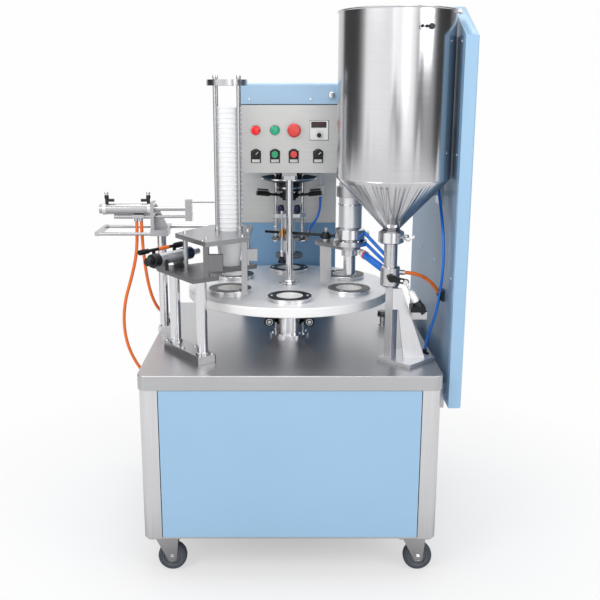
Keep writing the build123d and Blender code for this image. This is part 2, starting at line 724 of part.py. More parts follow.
rod_hole = 7.0
air_radius = 20.0
air_top = barrel_top + 170
with BuildPart() as dosing_barrel:
    turned((*fill, T), [(barrel_bore, barrel_bottom), (barrel_radius, barrel_bottom), (barrel_radius, barrel_top),
                        (rod_hole + running_gap, barrel_top), (rod_hole + running_gap, barrel_top - 6),
                        (barrel_bore, barrel_top - 6)])
with BuildPart() as dosing_cylinder:
    turned((*fill, T), [(rod_hole + running_gap, barrel_top), (air_radius + 4, barrel_top),
                        (air_radius + 4, barrel_top + 8), (air_radius, barrel_top + 8), (air_radius, air_top),
                        (0, air_top), (0, air_top - 8), (rod_hole + running_gap, air_top - 8)])
bracket_low = T + barrel_top - 40
bracket_right = housing_left - sheet
with BuildPart() as barrel_bracket:
    ring = barrel_radius + 7
    turned((*fill, bracket_low), [(barrel_radius, 0), (ring, 0), (ring, 28), (barrel_radius, 28)])
    block((fill_x + barrel_radius + 3, fill_y - 15, bracket_low + 4), (bracket_right, fill_y + 15, bracket_low + 16))
    block((bracket_right - 8, fill_y - 30, bracket_low - 20), (bracket_right, fill_y + 30, bracket_low + 40))
save(fill_head, "fill_head")
save_group([dosing_barrel, dosing_cylinder, barrel_bracket], "dosing_barrel")

piston_height = 20.0
with BuildPart() as dosing_piston:
    piston = barrel_bore - running_gap
    turned((*fill, T + barrel_bottom + 6), [(0, 0), (piston - 2, 0), (piston, 2), (piston, piston_height), (rod_hole, piston_height),
                                            (rod_hole, barrel_top + 20 - barrel_bottom),
                                            (0, barrel_top + 20 - barrel_bottom)])
save(dosing_piston, "dosing_piston")

with BuildPart() as fill_nozzle:
    inside_r = nozzle_radius - nozzle_wall
    nozzle_top = barrel_bottom - 6
    turned((*fill, T), [(inside_r, nozzle_bottom), (nozzle_radius - 2, nozzle_bottom),
                        (nozzle_radius, nozzle_bottom + 4), (nozzle_radius, nozzle_top), (inside_r, nozzle_top)])
save(fill_nozzle, "fill_nozzle")

# Hopper with its outlet, clamps and valve
hopper_place = (hopper_x, hopper_y)
inner_r = hopper_radius - hopper_wall
neck_inner = neck_radius - hopper_wall
rim = rim_wire / 2
with BuildPart() as hopper:
    turned((*hopper_place, T), [(neck_inner, clamp_top - 4), (neck_radius, clamp_top - 4), (neck_radius, neck_top),
                                (hopper_radius, hopper_shoulder), (hopper_radius, hopper_rim - rim_wire),
                                (hopper_radius + rim, hopper_rim - 0.75 * rim_wire),
                                (hopper_radius + rim, hopper_rim - 0.25 * rim_wire), (hopper_radius, hopper_rim),
                                (inner_r, hopper_rim - 1), (inner_r, hopper_shoulder + 0.8), (neck_inner, neck_top + 0.8)])
save(hopper, "hopper")

outlet_radius = outlet_diameter / 2
valve_radius = valve_diameter / 2
stem_radius = 5.0
valve_axis = 234.0
lever_y = hopper_y - valve_radius - 12
with BuildPart() as outlet_valve:
    pipe_inner = outlet_radius - 2
    turned((*hopper_place, T), [(0, valve_bottom), (valve_radius - 4, valve_bottom), (valve_radius, valve_bottom + 4),
                                (valve_radius, valve_top - 4), (valve_radius - 4, valve_top),
                                (outlet_radius, valve_top), (outlet_radius, clamp_bottom + 8), (neck_radius + 4, clamp_bottom + 12),
                                (neck_radius + 4, clamp_top - 4), (pipe_inner, clamp_top - 4),
                                (pipe_inner, valve_top - 8), (0, valve_top - 8)])
    bar((hopper_x, hopper_y - valve_radius - 4, T + valve_axis), (0, 1, 0), 14, 14)
    nipple("orange_hose_right", 7, 24, last=False)
    bar((hopper_x, hopper_y - valve_radius - 4, T + valve_axis), (0, 1, 0), stem_radius + running_gap, 24, mode=Mode.SUBTRACT)
clamp_radius = hopper_clamp_diameter / 2
with BuildPart() as hopper_clamp:
    seat = neck_radius + 4
    turned((*hopper_place, T + clamp_bottom), [(seat, 0), (clamp_radius, 4), (clamp_radius, clamp_top - clamp_bottom - 4),
                                               (seat, clamp_top - clamp_bottom)])
    ear = T + clamp_bottom + 8
    block((hopper_x + clamp_radius - 3, hopper_y - 12, ear), (hopper_x + clamp_radius + 12, hopper_y + 12, ear + 16))
    bar((hopper_x + clamp_radius + 6, hopper_y - 12, ear + 8), (0, -1, 0), 4, 18)
with BuildPart() as barrel_clamp:
    seat = barrel_radius
    ring = barrel_clamp_diameter / 2
    tall = barrel_bottom - flange_top - clamp_gap
    turned((*fill, T + flange_top + clamp_gap / 2), [(seat, 0), (ring, 4), (ring, tall - 4), (seat, tall)])
    ear = T + flange_top + 10
    block((fill_x + ring - 3, fill_y - 12, ear), (fill_x + ring + 12, fill_y + 12, ear + 16))
save_group([outlet_valve, hopper_clamp, barrel_clamp], "outlet_valve")

# The lever on the valve stem, with a slot for the actuator's pin
lever_angle = -12.0
lever_thickness = 5.0
pin_radius = 2.5
pin_reach = 36.0
stroke = 12.0
lever_start = (hopper_x, lever_y, T + valve_axis)
out = (cos(radians(lever_angle)), 0, sin(radians(lever_angle)))
with BuildPart() as valve_lever:
    face = Plane(origin=lever_start, x_dir=out, z_dir=(0, -1, 0))
    with BuildSketch(face) as arm:
        Circle(10)
        with Locations((pin_reach / 2, 0)):
            SlotOverall(pin_reach + 22, 15)
        with Locations((pin_reach - 4, 0)):
            SlotOverall(19, 2 * pin_radius + 1.6, mode=Mode.SUBTRACT)
    extrude(arm.sketch, amount=lever_thickness)
    bar((hopper_x, lever_y - lever_thickness - 3, T + valve_axis), (0, 1, 0), stem_radius, lever_thickness + 3 + 30)
save(valve_lever, "valve_lever")

# Actuator in front of the stand's brace, pushing up and to the left
push = (-0.5, 0, sin(radians(60)))
pin = (hopper_x + pin_reach * out[0], T + valve_axis + pin_reach * out[2])
rod_y = lever_y - lever_thickness - 8
actuator_nose = (pin[0] - 26 * push[0], rod_y, pin[1] - 26 * push[2])
with BuildPart() as actuator_rod:
    bar((pin[0], rod_y + 5, pin[1]), (0, 1, 0), pin_radius, lever_thickness + 5)
    bar((pin[0], rod_y - 5, pin[1]), (0, 1, 0), 7, 10)
    bar((pin[0], rod_y, pin[1]), (-push[0], 0, -push[2]), 3, 60)
save(actuator_rod, "actuator_rod")

actuator_length = 70.0
with BuildPart() as actuator_body:
    turned(actuator_nose, [(3 + running_gap, 0), (6, 0), (6, 6), (9, 6), (9, actuator_length - 26), (11.5, actuator_length - 24),
                           (11.5, actuator_length), (0, actuator_length), (0, actuator_length - 8),
                           (3 + running_gap, actuator_length - 8)],
           along=(-push[0], 0, -push[2]), across=(0, 1, 0))
sx, sy = stand_centre
foot_top = T + stand_plate_thickness
post_half = stand_post / 2
brace_y = rod_y + 26
with BuildPart() as hopper_stand:
    turned_square = Plane(origin=(sx, sy, T), x_dir=(1, 1, 0), z_dir=(0, 0, 1))
    with BuildSketch(turned_square) as foot:
        Rectangle(stand_plate, stand_plate)
    extrude(foot.sketch, amount=stand_plate_thickness)
    with BuildSketch(Plane(origin=(stand_post_x, hopper_y, T), x_dir=(1, 1, 0), z_dir=(0, 0, 1))) as post:
        Rectangle(stand_post, stand_post)
    extrude(post.sketch, amount=valve_bottom)
    with BuildSketch(Plane(origin=(0, brace_y, T), x_dir=(1, 0, 0), z_dir=(0, -1, 0))) as brace:
        with BuildLine():
            Polyline((stand_post_x, valve_bottom - 2), (stand_post_x + 24, valve_bottom - 2),
                     (sx + 50, stand_plate_thickness), (sx - 8, stand_plate_thickness),
                     (stand_post_x + 16, valve_bottom - 60), (stand_post_x, valve_bottom - 60), close=True)
        make_face()
    extrude(brace.sketch, amount=-12)
tail = actuator_length - 14
tail_x = actuator_nose[0] - tail * push[0]
tail_z = actuator_nose[2] - tail * push[2]
with BuildPart() as actuator_bracket:
    block((tail_x - 26, rod_y - 13, tail_z - 8), (tail_x + 13, brace_y, tail_z + 8))
    bar(actuator_nose, (-push[0], 0, -push[2]), 11.5, actuator_length, mode=Mode.SUBTRACT)
save_group([hopper_stand, actuator_body, actuator_bracket], "hopper_stand")

# Lid arm: a post hanging from the fill station's flange, a swinging rod and a picker
pivot = (107.0, -20.0)
arm_rest = 159.0
arm_rise = 15.0
arm_height = fill_flange_bottom + arm_rise
arm_reach = 192.0
picker_reach = 135.0
picker_offset = 10.0
pivot_radius = 5.0
link_top = fill_flange_bottom
link_thickness = 12.0
guard_bottom = disc_top + 10
with BuildPart() as arm_post:
    across = (pivot[0] - fill_x, pivot[1] - fill_y)
    span = hypot(*across)
    middle = ((pivot[0] + fill_x) / 2, (pivot[1] + fill_y) / 2, T + link_top - link_thickness)
    with BuildSketch(Plane(origin=middle, x_dir=(*across, 0), z_dir=(0, 0, 1))) as link:
        SlotCenterToCenter(span, 62)
        with Locations((-span / 2, 0)):
            Circle(nozzle_radius + 6, mode=Mode.SUBTRACT)
    extrude(link.sketch, amount=link_thickness)
    block((pivot[0] - 17, pivot[1] - 5, T + guard_bottom), (pivot[0] + 17, pivot[1] + 5, T + link_top - link_thickness))
    bar((*pivot, T + link_top), (0, 0, 1), 13, arm_height - 9 - free_gap - link_top)
    bar((*pivot, T + link_top), (0, 0, 1), pivot_radius, arm_height + 14 - link_top)
save(arm_post, "arm_post")

arm_way = (cos(radians(arm_rest)), sin(radians(arm_rest)), 0)
side_way = (-arm_way[1], arm_way[0], 0)
holder = (pivot[0] + picker_reach * arm_way[0], pivot[1] + picker_reach * arm_way[1])
picker = (holder[0] + picker_offset * side_way[0], holder[1] + picker_offset * side_way[1])
with BuildPart() as lid_arm:
    start = (pivot[0] - 32 * arm_way[0], pivot[1] - 32 * arm_way[1], T + arm_height)
    bar(start, arm_way, 4, arm_reach + 32)
    turned((*pivot, T + arm_height), [(0, -9), (15, -9), (17, -5), (12, 5), (9, 9), (0, 9)])
    turned((*holder, T + arm_height), [(0, -11), (7, -11), (12, -5), (12, 5), (7, 11), (0, 11)])
    bar((*picker, T + arm_height - 12), (0, 0, 1), 7, 24)
    bar((*picker, T + arm_height - 13), (0, 0, 1), 3 + running_gap, 26, mode=Mode.SUBTRACT)
    bar((*pivot, T + arm_height - 10), (0, 0, 1), pivot_radius + running_gap, 20, mode=Mode.SUBTRACT)
save(lid_arm, "lid_arm")

picker_bottom = 218.0
picker_stroke = 45.0
rod_stop = arm_height + 12 + picker_stroke + 1
with BuildPart() as lid_picker:
    turned((*picker, T), [(0, picker_bottom + 6), (7, picker_bottom + 4), (11, picker_bottom), (11, picker_bottom + 2),
                          (7, picker_bottom + 10), (5, picker_bottom + 18), (5, picker_bottom + 34),
                          (3, picker_bottom + 36), (3, rod_stop), (5, rod_stop), (5, rod_stop + 8),
                          (0, rod_stop + 8)])
save(lid_picker, "lid_picker")

# Cup magazine: plates with their brackets, cage and cups
magazine = (magazine_x, magazine_y)
column_span = (infeed_column_front[0] - infeed_column_left[0], infeed_column_front[1] - infeed_column_left[1])
column_middle = ((infeed_column_front[0] + infeed_column_left[0]) / 2,
                 (infeed_column_front[1] + infeed_column_left[1]) / 2)
span_length = hypot(*column_span)
column_radius = infeed_column_diameter / 2
lower_top = lower_plate_bottom + lower_plate_thickness
cup_way = (-column_span[1] / span_length, column_span[0] / span_length)
cup_side = (column_span[0] / span_length, column_span[1] / span_length)
to_cup = (magazine_x - column_middle[0], magazine_y - column_middle[1])
cup_out = to_cup[0] * cup_way[0] + to_cup[1] * cup_way[1]
cup_along = to_cup[0] * cup_side[0] + to_cup[1] * cup_side[1]
standoffs = [(-222.0, -255.0), (-290.0, -160.0), (-161.0, -34.0), (-118.0, -122.0)]
standoff_radius = 7.0

with BuildPart() as lower_plate:
    tee_plane = Plane(origin=(*column_middle, T + lower_plate_bottom), x_dir=(*column_span, 0), z_dir=(0, 0, 1))
    with BuildSketch(tee_plane) as tee:
        Rectangle(foot_block[0], 2 * 40)
        with Locations((cup_along, (cup_out + 56) / 2)):
            Rectangle(114, cup_out + 56)
        with Locations((cup_along, cup_out)):
            Circle(cup_rim_diameter / 2 + 3, mode=Mode.SUBTRACT)
    extrude(tee.sketch, amount=lower_plate_thickness)

plate_top = magazine_plate_bottom + magazine_plate_thickness
plate_corners = [(magazine_x + 64, magazine_y + 84), (magazine_x - 57, magazine_y + 84), (-316, -170), (-218, -320),
                 (magazine_x + 64, -232)]
with BuildPart() as magazine_plate:
    outline(plate_corners, T + magazine_plate_bottom, magazine_plate_thickness)
    bar((*magazine, T + magazine_plate_bottom), (0, 0, 1), cup_rim_diameter / 2 + 1.5, magazine_plate_thickness,
        mode=Mode.SUBTRACT)

with BuildPart() as plate_standoffs:
    for place in standoffs:
        bar((*place, T + lower_top), (0, 0, 1), standoff_radius, magazine_plate_bottom - lower_top)

finger_top = magazine_plate_bottom - cup_lip - free_gap
with BuildPart() as cup_fingers:
    for turn in (80, 200, 320):
        away = (cos(radians(turn)), sin(radians(turn)))
        with BuildSketch(Plane(origin=(*magazine, T + finger_top), x_dir=(*away, 0), z_dir=(0, 0, -1))) as finger:
            with Locations((47, 0)):
                Rectangle(19, 16)
        extrude(finger.sketch, amount=6)
        with BuildSketch(Plane(origin=(*magazine, T + finger_top), x_dir=(*away, 0), z_dir=(0, 0, 1))) as hanger:
            with Locations((51, 0)):
                Rectangle(11, 16)
        extrude(hanger.sketch, amount=magazine_plate_bottom - finger_top)

guide_x = magazine_x + 48
with BuildPart() as guide_brackets:
    block((guide_x - 8, -226, T + disc_top + ring_height + 8), (guide_x + 8, -218, T + magazine_plate_bottom))
    block((guide_x + 8, -227, T + 270), (guide_x + 36, -213, T + 302))
    block((-228, -297, T + lower_top), (-214, -289, T + magazine_plate_bottom))
    block((-214, -300, T + 256), (-176, -282, T + 300))
save_group([lower_plate, magazine_plate, plate_standoffs, cup_fingers, guide_brackets], "magazine_plates")

with BuildPart() as magazine_cage:
    for k in range(4):
        turn = radians(45 + 90 * k)
        place = (magazine_x + cage_radius * cos(turn), magazine_y + cage_radius * sin(turn))
        bar((*place, T + plate_top), (0, 0, 1), cage_rod_diameter / 2, top_ring_bottom + top_ring_thickness + 6 - plate_top)
        bar((*place, T + plate_top), (0, 0, 1), cage_rod_diameter / 2 + 1, 6)
    ring_inner = cup_rim_diameter / 2 + 1.5
    turned((*magazine, T + top_ring_bottom), [(ring_inner, 0), (top_ring_diameter / 2, 0),
                                              (top_ring_diameter / 2, top_ring_thickness), (ring_inner, top_ring_thickness)])
save(magazine_cage, "magazine_cage")

cup_radius = cup_rim_diameter / 2
stack_bottom = magazine_plate_bottom - cup_lip
with BuildPart() as cup_stack:
    base = cup_base_diameter / 2
    first_rim = cup_height - cup_lip
    profile = [(0, 6), (base - 2, 6), (base - 2, 0), (base, 0), (cup_radius - 2.5, first_rim)]
    for k in range(cup_count):
        z = first_rim + cup_pitch * k
        profile += [(cup_radius, z), (cup_radius, z + cup_lip)]
        if k < cup_count - 1:
            profile += [(cup_radius - 2.5, z + cup_lip)]
            profile += [(cup_radius - 2.5, z + cup_pitch)]
    stack_top = first_rim + cup_pitch * (cup_count - 1) + cup_lip
    profile += [(cup_radius - 3, stack_top), (base - 1, stack_top - cup_height + 7), (0, stack_top - cup_height + 7)]
    turned((*magazine, T + stack_bottom - first_rim), profile)
save(cup_stack, "cup_stack")

foot_length, foot_width, foot_height = foot_block
with BuildPart() as infeed_stand:
    foot_plane = Plane(origin=(*column_middle, T), x_dir=(*column_span, 0), z_dir=(0, 0, 1))
    with BuildSketch(foot_plane) as foot:
        RectangleRounded(foot_length, foot_width, 6)
    extrude(foot.sketch, amount=foot_height)
with BuildPart() as infeed_columns:
    for place in (infeed_column_left, infeed_column_front):
        bar((*place, T + foot_height), (0, 0, 1), column_radius, lower_plate_bottom - foot_height)
save_group([infeed_stand, infeed_columns], "infeed_stand")

# Pusher unit on its own column
body_radius = pusher_body_diameter / 2
main_radius = pusher_rod_diameter / 2
side_radius = pusher_guide_diameter / 2
plate_left = pusher_plate_x - 10
with BuildPart() as pusher_column:
    place = (pusher_column_x, pusher_y)
    with BuildSketch(Plane(origin=(*place, T))) as foot:
        Rectangle(36, 36)
    extrude(foot.sketch, amount=16)
    bar((*place, T + 16), (0, 0, 1), pusher_column_diameter / 2, pusher_column_top - 16)
with BuildPart() as pusher_bracket:
    shelf_top = pusher_column_top + 18
    block((plate_left, pusher_y - 40, T + pusher_column_top), (pusher_column_x + 24, pusher_y + 18, T + shelf_top))
    block((plate_left, pusher_y - 26, T + shelf_top), (pusher_plate_x, pusher_y + 26, T + pusher_axis + 22))
    with BuildSketch(Plane(origin=(0, pusher_y + 24, T), x_dir=(1, 0, 0), z_dir=(0, -1, 0))) as web:
        with BuildLine():
            Polyline((pusher_plate_x, pusher_axis + 18), (pusher_plate_x, shelf_top),
                     (pusher_column_x + 18, shelf_top), close=True)
        make_face()
    extrude(web.sketch, amount=8)
    for height, radius in ((pusher_axis, main_radius), (pusher_guide_axis, side_radius)):
        bar((plate_left, pusher_y, T + height), (1, 0, 0), radius + 0.6, 10, mode=Mode.SUBTRACT)
rail_radius = rail_diameter / 2
with BuildPart() as guide_rails:
    bar((plate_left, rail_front_y, T + rail_height), (-1, 0, 0), rail_radius, plate_left - rail_left)
    bar((rail_left, rail_rear_y, T + rail_height), (1, 0, 0), rail_radius, 340)
    block((rail_left - 6, rail_front_y - rail_radius, T + rail_height - 6),
          (rail_left + 6, rail_rear_y + rail_radius, T + rail_height + 6))
    block((pusher_column_x - 8, pusher_y + 18, T + rail_height - 6),
          (pusher_column_x + 16, rail_rear_y + 12, T + rail_height + 8))
save_group([pusher_column, pusher_bracket, guide_rails], "pusher_stand")

port_x = -449.0
with BuildPart() as pusher_cylinder:
    turned((plate_left, pusher_y, T + pusher_axis),
           [(main_radius + running_gap, 0), (body_radius, 0), (body_radius, pusher_body_length - 10),
            (9, pusher_body_length - 10), (9, pusher_body_length - 6), (14, pusher_body_length - 6),
            (14, pusher_body_length + 4), (0, pusher_body_length + 4), (0, pusher_body_length - 14),
            (main_radius + running_gap, pusher_body_length - 14)], along=(-1, 0, 0), across=(0, 1, 0))
with BuildPart() as guide_tube:
    turned((plate_left, pusher_y, T + pusher_guide_axis),
           [(side_radius + running_gap, 0), (6.5, 0), (6.5, 112), (0, 112), (0, 108), (side_radius + running_gap, 108)],
           along=(-1, 0, 0), across=(0, 1, 0))
with BuildPart() as air_fittings:
    for x in (plate_left - 8, plate_left - 132):
        bar((x, pusher_y, T + pusher_axis + body_radius - 1), (0, 0, 1), 5, 16)
        bar((x, pusher_y, T + pusher_axis + body_radius + 15), (0, 0, 1), 6.5, 10)
        bar((x, pusher_y, T + pusher_axis + body_radius + 10), (-1 if x > port_x else 1, 0, 0), 4.5, 22)
    for x in (port_x - 7, port_x + 7):
        bar((x, pusher_y - 14, T + pusher_guide_axis + 4), (0, 0, -1), 6, 16)
    block((port_x - 16, pusher_y - 20, T + pusher_guide_axis - 2),
          (port_x + 16, pusher_y - 5.2, T + pusher_guide_axis + 8))
save_group([pusher_cylinder, guide_tube, air_fittings], "pusher_cylinder")

end_left = pusher_plate_x + 92
with BuildPart() as pusher_rods:
    block((end_left, pusher_y - 12, T + pusher_guide_axis - 12), (end_left + 20, pusher_y + 12, T + pusher_axis + 28))
    bar((end_left, pusher_y, T + pusher_axis), (-1, 0, 0), main_radius, 140)
    bar((end_left, pusher_y, T + pusher_guide_axis), (-1, 0, 0), side_radius, 122)
    bar((end_left + 20, pusher_y, T + pusher_axis + 21), (1, 0, 0), 3, 78)
save(pusher_rods, "pusher_rods")

# Slanted feed cylinder on the lower plate
feed_way = (cos(radians(feed_angle)), sin(radians(feed_angle)), 0)
feed_left = (-feed_way[1], feed_way[0], 0)


def along_feed(distance, aside=0.0, height=feed_height):
    """Gives a point measured along the feed cylinder's axis and to its left."""
    return (feed_back[0] + distance * feed_way[0] + aside * feed_left[0],
            feed_back[1] + distance * feed_way[1] + aside * feed_left[1], T + height)


feed_radius = feed_body_diameter / 2
feed_rod_radius = feed_rod_diameter / 2
feed_travel = 40.0
with BuildPart() as feed_cylinder:
    turned(along_feed(0), [(0, -26), (9, -26), (11, -24), (11, -6), (feed_radius + 1.5, -6), (feed_radius + 1.5, 18),
                           (feed_radius, 18), (feed_radius, feed_body_length - 26),
                           (feed_radius + 1, feed_body_length - 26), (feed_radius + 1, feed_body_length),
                           (10, feed_body_length), (10, feed_body_length + 14),
                           (feed_rod_radius + running_gap, feed_body_length + 14), (feed_rod_radius + running_gap, 60),
                           (0, 60)], along=feed_way, across=feed_left)
with BuildPart() as feed_saddles:
    for distance in (34, 108):
        low = along_feed(distance, 0, lower_top)
        with BuildSketch(Plane(origin=low, x_dir=feed_way, z_dir=(0, 0, 1))) as saddle:
            Rectangle(14, 36)
        extrude(saddle.sketch, amount=feed_height - lower_top)
    bar(along_feed(20), feed_way, feed_radius, feed_body_length - 20, mode=Mode.SUBTRACT)
valve_bar_aside = 30.0
valve_bar_height = 290.0
with BuildPart() as throttle_bar:
    bar(along_feed(-22, valve_bar_aside, valve_bar_height), feed_way, 7, 34)
    bar(along_feed(12, valve_bar_aside, valve_bar_height), feed_way, 4.5, 108)
    bar(along_feed(120, valve_bar_aside, valve_bar_height), feed_way, 8, 30)
    for distance in (34, 118):
        post = along_feed(distance, valve_bar_aside, lower_top)
        with BuildSketch(Plane(origin=post, x_dir=feed_way, z_dir=(0, 0, 1))) as stay:
            Rectangle(6, 8)
        extrude(stay.sketch, amount=valve_bar_height - lower_top)
save_group([feed_cylinder, feed_saddles, throttle_bar], "feed_cylinder")

with BuildPart() as feed_rod:
    inside_end = feed_body_length - 70
    bar(along_feed(inside_end), feed_way, feed_rod_radius, feed_body_length + 26 - inside_end)
    bar(along_feed(feed_body_length + 20), feed_way, 9, 16)
save(feed_rod, "feed_rod")

# Side housing, its liner, rails, hose clip and table glands
with BuildPart() as side_housing:
    edge = [(housing_front, housing_bottom), (housing_back, housing_bottom), (housing_back, housing_top),
            (housing_front + housing_slope_run, housing_top), (housing_front, housing_top - housing_slope_drop)]
    with BuildSketch(Plane(origin=(housing_left, 0, T), x_dir=(0, 1, 0), z_dir=(1, 0, 0))) as wall:
        with BuildLine():
            Polyline(*edge, close=True)
        make_face()
    extrude(wall.sketch, amount=housing_right - housing_left)
    outer_edges = side_housing.edges().group_by(Axis.X)[-1]
    fillet(outer_edges, 6)
    offset(amount=-sheet, openings=side_housing.faces().sort_by(Axis.X)[0])
with BuildPart() as housing_liner:
    with BuildSketch(Plane(origin=(housing_left - sheet, 0, T), x_dir=(0, 1, 0), z_dir=(1, 0, 0))) as liner:
        with BuildLine():
            Polyline(*edge, close=True)
        make_face()
    extrude(liner.sketch, amount=sheet)
with BuildPart() as housing_rails:
    for y in (-260, 260):
        block((body_half_x, y - 25, body_top - 90), (housing_left - sheet, y + 25, body_top - 20))
clip = (housing_left - sheet, -220.0, 179.0)
with BuildPart() as hose_clip:
    block((clip[0] - 10, clip[1] - 18, T + clip[2] - 20), (clip[0], clip[1] + 16, T + clip[2] + 10))
    nipple("orange_hose_right", 6.5, 10)
    x, y, z = hose_routes["blue_hose_side"][1][0]
    nipple("blue_hose_side", 6, 12, last=False)
    block((x - 8, y - 9, T + z + 8), (clip[0], y + 9, T + z + 26))
save_group([side_housing, housing_liner, housing_rails, hose_clip], "side_housing")

# Each hose is a plain tube: straight runs joined by arcs
for name, (diameter, corners) in hose_routes.items():
    places = [Vector(x, y, T + z) for x, y, z in corners]
    runs = [(b - a).length for a, b in zip(places, places[1:])]
    radii = []
    for k in range(1, len(places) - 1):
        turn = (places[k] - places[k - 1]).get_angle(places[k + 1] - places[k])
        radii.append(0.45 * min(runs[k - 1], runs[k]) / tan(radians(turn / 2)))
    with BuildPart() as tube:
        with BuildLine() as route:
            FilletPolyline(*places, radius=radii)
        with BuildSketch(Plane(origin=places[0], z_dir=places[1] - places[0])) as section:
            Circle(diameter / 2)
        sweep(section.sketch, path=route.line)
    route_length = sum(edge.length for edge in route.line.edges())
    print(name, "length", round(route_length), "radii", [round(r) for r in radii],
          "volume over section times length", round(tube.part.volume / (route_length * section.sketch.area), 4))
    save(tube, name)
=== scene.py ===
"""Rotary cup filling and sealing machine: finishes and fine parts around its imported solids.

Every length is in metres, in the frame of the solids: X to the operator's right, Y away from
the operator, Z up, with the origin on the floor under the turntable's axis.
"""

from __future__ import annotations

import json
import logging
import math
from dataclasses import dataclass, field
from enum import Enum
from typing import Callable, Iterable, Optional, Sequence, Union

import bmesh
import bpy
from mathutils import Matrix, Vector

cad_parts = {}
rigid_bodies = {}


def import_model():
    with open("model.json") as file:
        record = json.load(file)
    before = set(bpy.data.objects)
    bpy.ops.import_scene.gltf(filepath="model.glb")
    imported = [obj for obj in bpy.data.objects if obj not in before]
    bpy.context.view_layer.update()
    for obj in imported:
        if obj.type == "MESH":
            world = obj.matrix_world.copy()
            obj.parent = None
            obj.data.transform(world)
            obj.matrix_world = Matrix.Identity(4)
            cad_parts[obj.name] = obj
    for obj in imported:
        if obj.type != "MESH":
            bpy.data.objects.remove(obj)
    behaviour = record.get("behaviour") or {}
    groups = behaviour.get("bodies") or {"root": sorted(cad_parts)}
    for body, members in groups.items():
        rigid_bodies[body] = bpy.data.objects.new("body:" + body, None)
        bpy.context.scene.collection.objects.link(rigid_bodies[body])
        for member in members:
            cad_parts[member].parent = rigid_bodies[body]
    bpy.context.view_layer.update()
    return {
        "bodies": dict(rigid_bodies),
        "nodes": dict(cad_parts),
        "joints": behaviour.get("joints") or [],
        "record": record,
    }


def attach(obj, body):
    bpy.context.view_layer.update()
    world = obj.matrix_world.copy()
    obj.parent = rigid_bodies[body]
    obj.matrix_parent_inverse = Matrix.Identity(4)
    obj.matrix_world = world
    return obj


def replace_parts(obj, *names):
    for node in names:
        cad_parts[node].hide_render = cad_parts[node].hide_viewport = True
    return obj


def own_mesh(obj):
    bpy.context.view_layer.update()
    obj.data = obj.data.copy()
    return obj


log = logging.getLogger("machine")

MM = 0.001
TABLE = 0.585
PI = math.pi
Point = Sequence[float]
Profile = Sequence[tuple[float, float]]
Spots = Iterable[tuple[Vector, Point]]
Shade = tuple[float, float, float]
X_WAY = (1.0, 0.0, 0.0)
Y_WAY = (0.0, 1.0, 0.0)
Z_WAY = (0.0, 0.0, 1.0)
FRONT = (0.0, -1.0, 0.0)
DOWN = (0.0, 0.0, -1.0)
SHAPE_MERGE = 1e-6
SOLID_MERGE = 2e-6
FLAT_ANGLE = 0.7
SHARP_ANGLE = 35.0
EASED_FROM = 34.0
EASED_SHARP = 40.0


def mm(x: float, y: float, z: float) -> Vector:
    """Gives a point in metres from millimetres, with the height above the table top."""
    return Vector((x * MM, y * MM, TABLE + z * MM))


def bearing(turn: float) -> Vector:
    """Gives the level direction at an angle from X, in radians."""
    return Vector((math.cos(turn), math.sin(turn), 0))


def left_of(way: Vector) -> Vector:
    """Gives the level direction to the left of another."""
    return Vector((-way.y, way.x, 0))


def facing(points: Iterable[Vector], way: Point) -> list[tuple[Vector, Point]]:
    """Pairs points with the direction that what sits on them looks in."""
    return [(point, way) for point in points]


def around(middle: Vector, radius: float, count: int, first: float = 0.0) -> list[Vector]:
    """Spaces points evenly round an upright axis.

    Args:
        middle: The ring's middle.
        radius: Its radius in millimetres.
        count: How many points it has.
        first: The first point's angle in radians.

    Returns:
        The points.
    """
    turns = [first + 2 * PI * k / count for k in range(count)]
    return [middle + bearing(turn) * (radius * MM) for turn in turns]


def linked(name: str, data: bpy.types.ID) -> bpy.types.Object:
    """Makes an object and links it to the scene."""
    made = bpy.data.objects.new(name, data)
    bpy.context.scene.collection.objects.link(made)
    return made


def linear(shade: Shade) -> tuple[float, float, float, float]:
    """Turns a colour as it is seen on a screen into the one that a shader takes.

    Args:
        shade: Red, green and blue from 0 to 1.

    Returns:
        The linear colour with full opacity.
    """
    parts = [c / 12.92 if c <= 0.04045 else ((c + 0.055) / 1.055) ** 2.4 for c in shade]
    return (parts[0], parts[1], parts[2], 1.0)


class Term:
    """One value in a shader, which takes part in sums as a number does."""

    def __init__(self, tree: "NodeTree", socket: bpy.types.NodeSocket) -> None:
        """Keeps the socket and the tree that it belongs to."""
        self.tree = tree
        self.socket = socket

    def _with(self, operation: str, first: "Number", second: "Number") -> "Term":
        """Adds one Math node for an operation on two values."""
        return self.tree.node("ShaderNodeMath", {"operation": operation}, [first, second]).out()

    def __add__(self, other: "Number") -> "Term":
        """Adds a value."""
        return self._with("ADD", self, other)

    def __radd__(self, other: "Number") -> "Term":
        """Is added to a number."""
        return self._with("ADD", other, self)

    def __sub__(self, other: "Number") -> "Term":
        """Takes a value away."""
        return self._with("SUBTRACT", self, other)

    def __rsub__(self, other: "Number") -> "Term":
        """Is taken from a number."""
        return self._with("SUBTRACT", other, self)

    def __mul__(self, other: "Number") -> "Term":
        """Multiplies by a value."""
        return self._with("MULTIPLY", self, other)

    def __rmul__(self, other: "Number") -> "Term":
        """Multiplies a number."""
        return self._with("MULTIPLY", other, self)

    def clipped(self) -> "Term":
        """Keeps the value between 0 and 1."""
        settings = {"operation": "ADD", "use_clamp": True}
        return self.tree.node("ShaderNodeMath", settings, [self, 0.0]).out()


Number = Union[Term, float]


class Made:
    """A node that a tree has added."""

    def __init__(self, tree: "NodeTree", node: bpy.types.Node) -> None:
        """Keeps the node and its tree."""
        self.tree = tree
        self.node = node

    def out(self, name: Union[str, int] = 0) -> Term:
        """Gives one of the node's outputs."""
        return Term(self.tree, self.node.outputs[name])


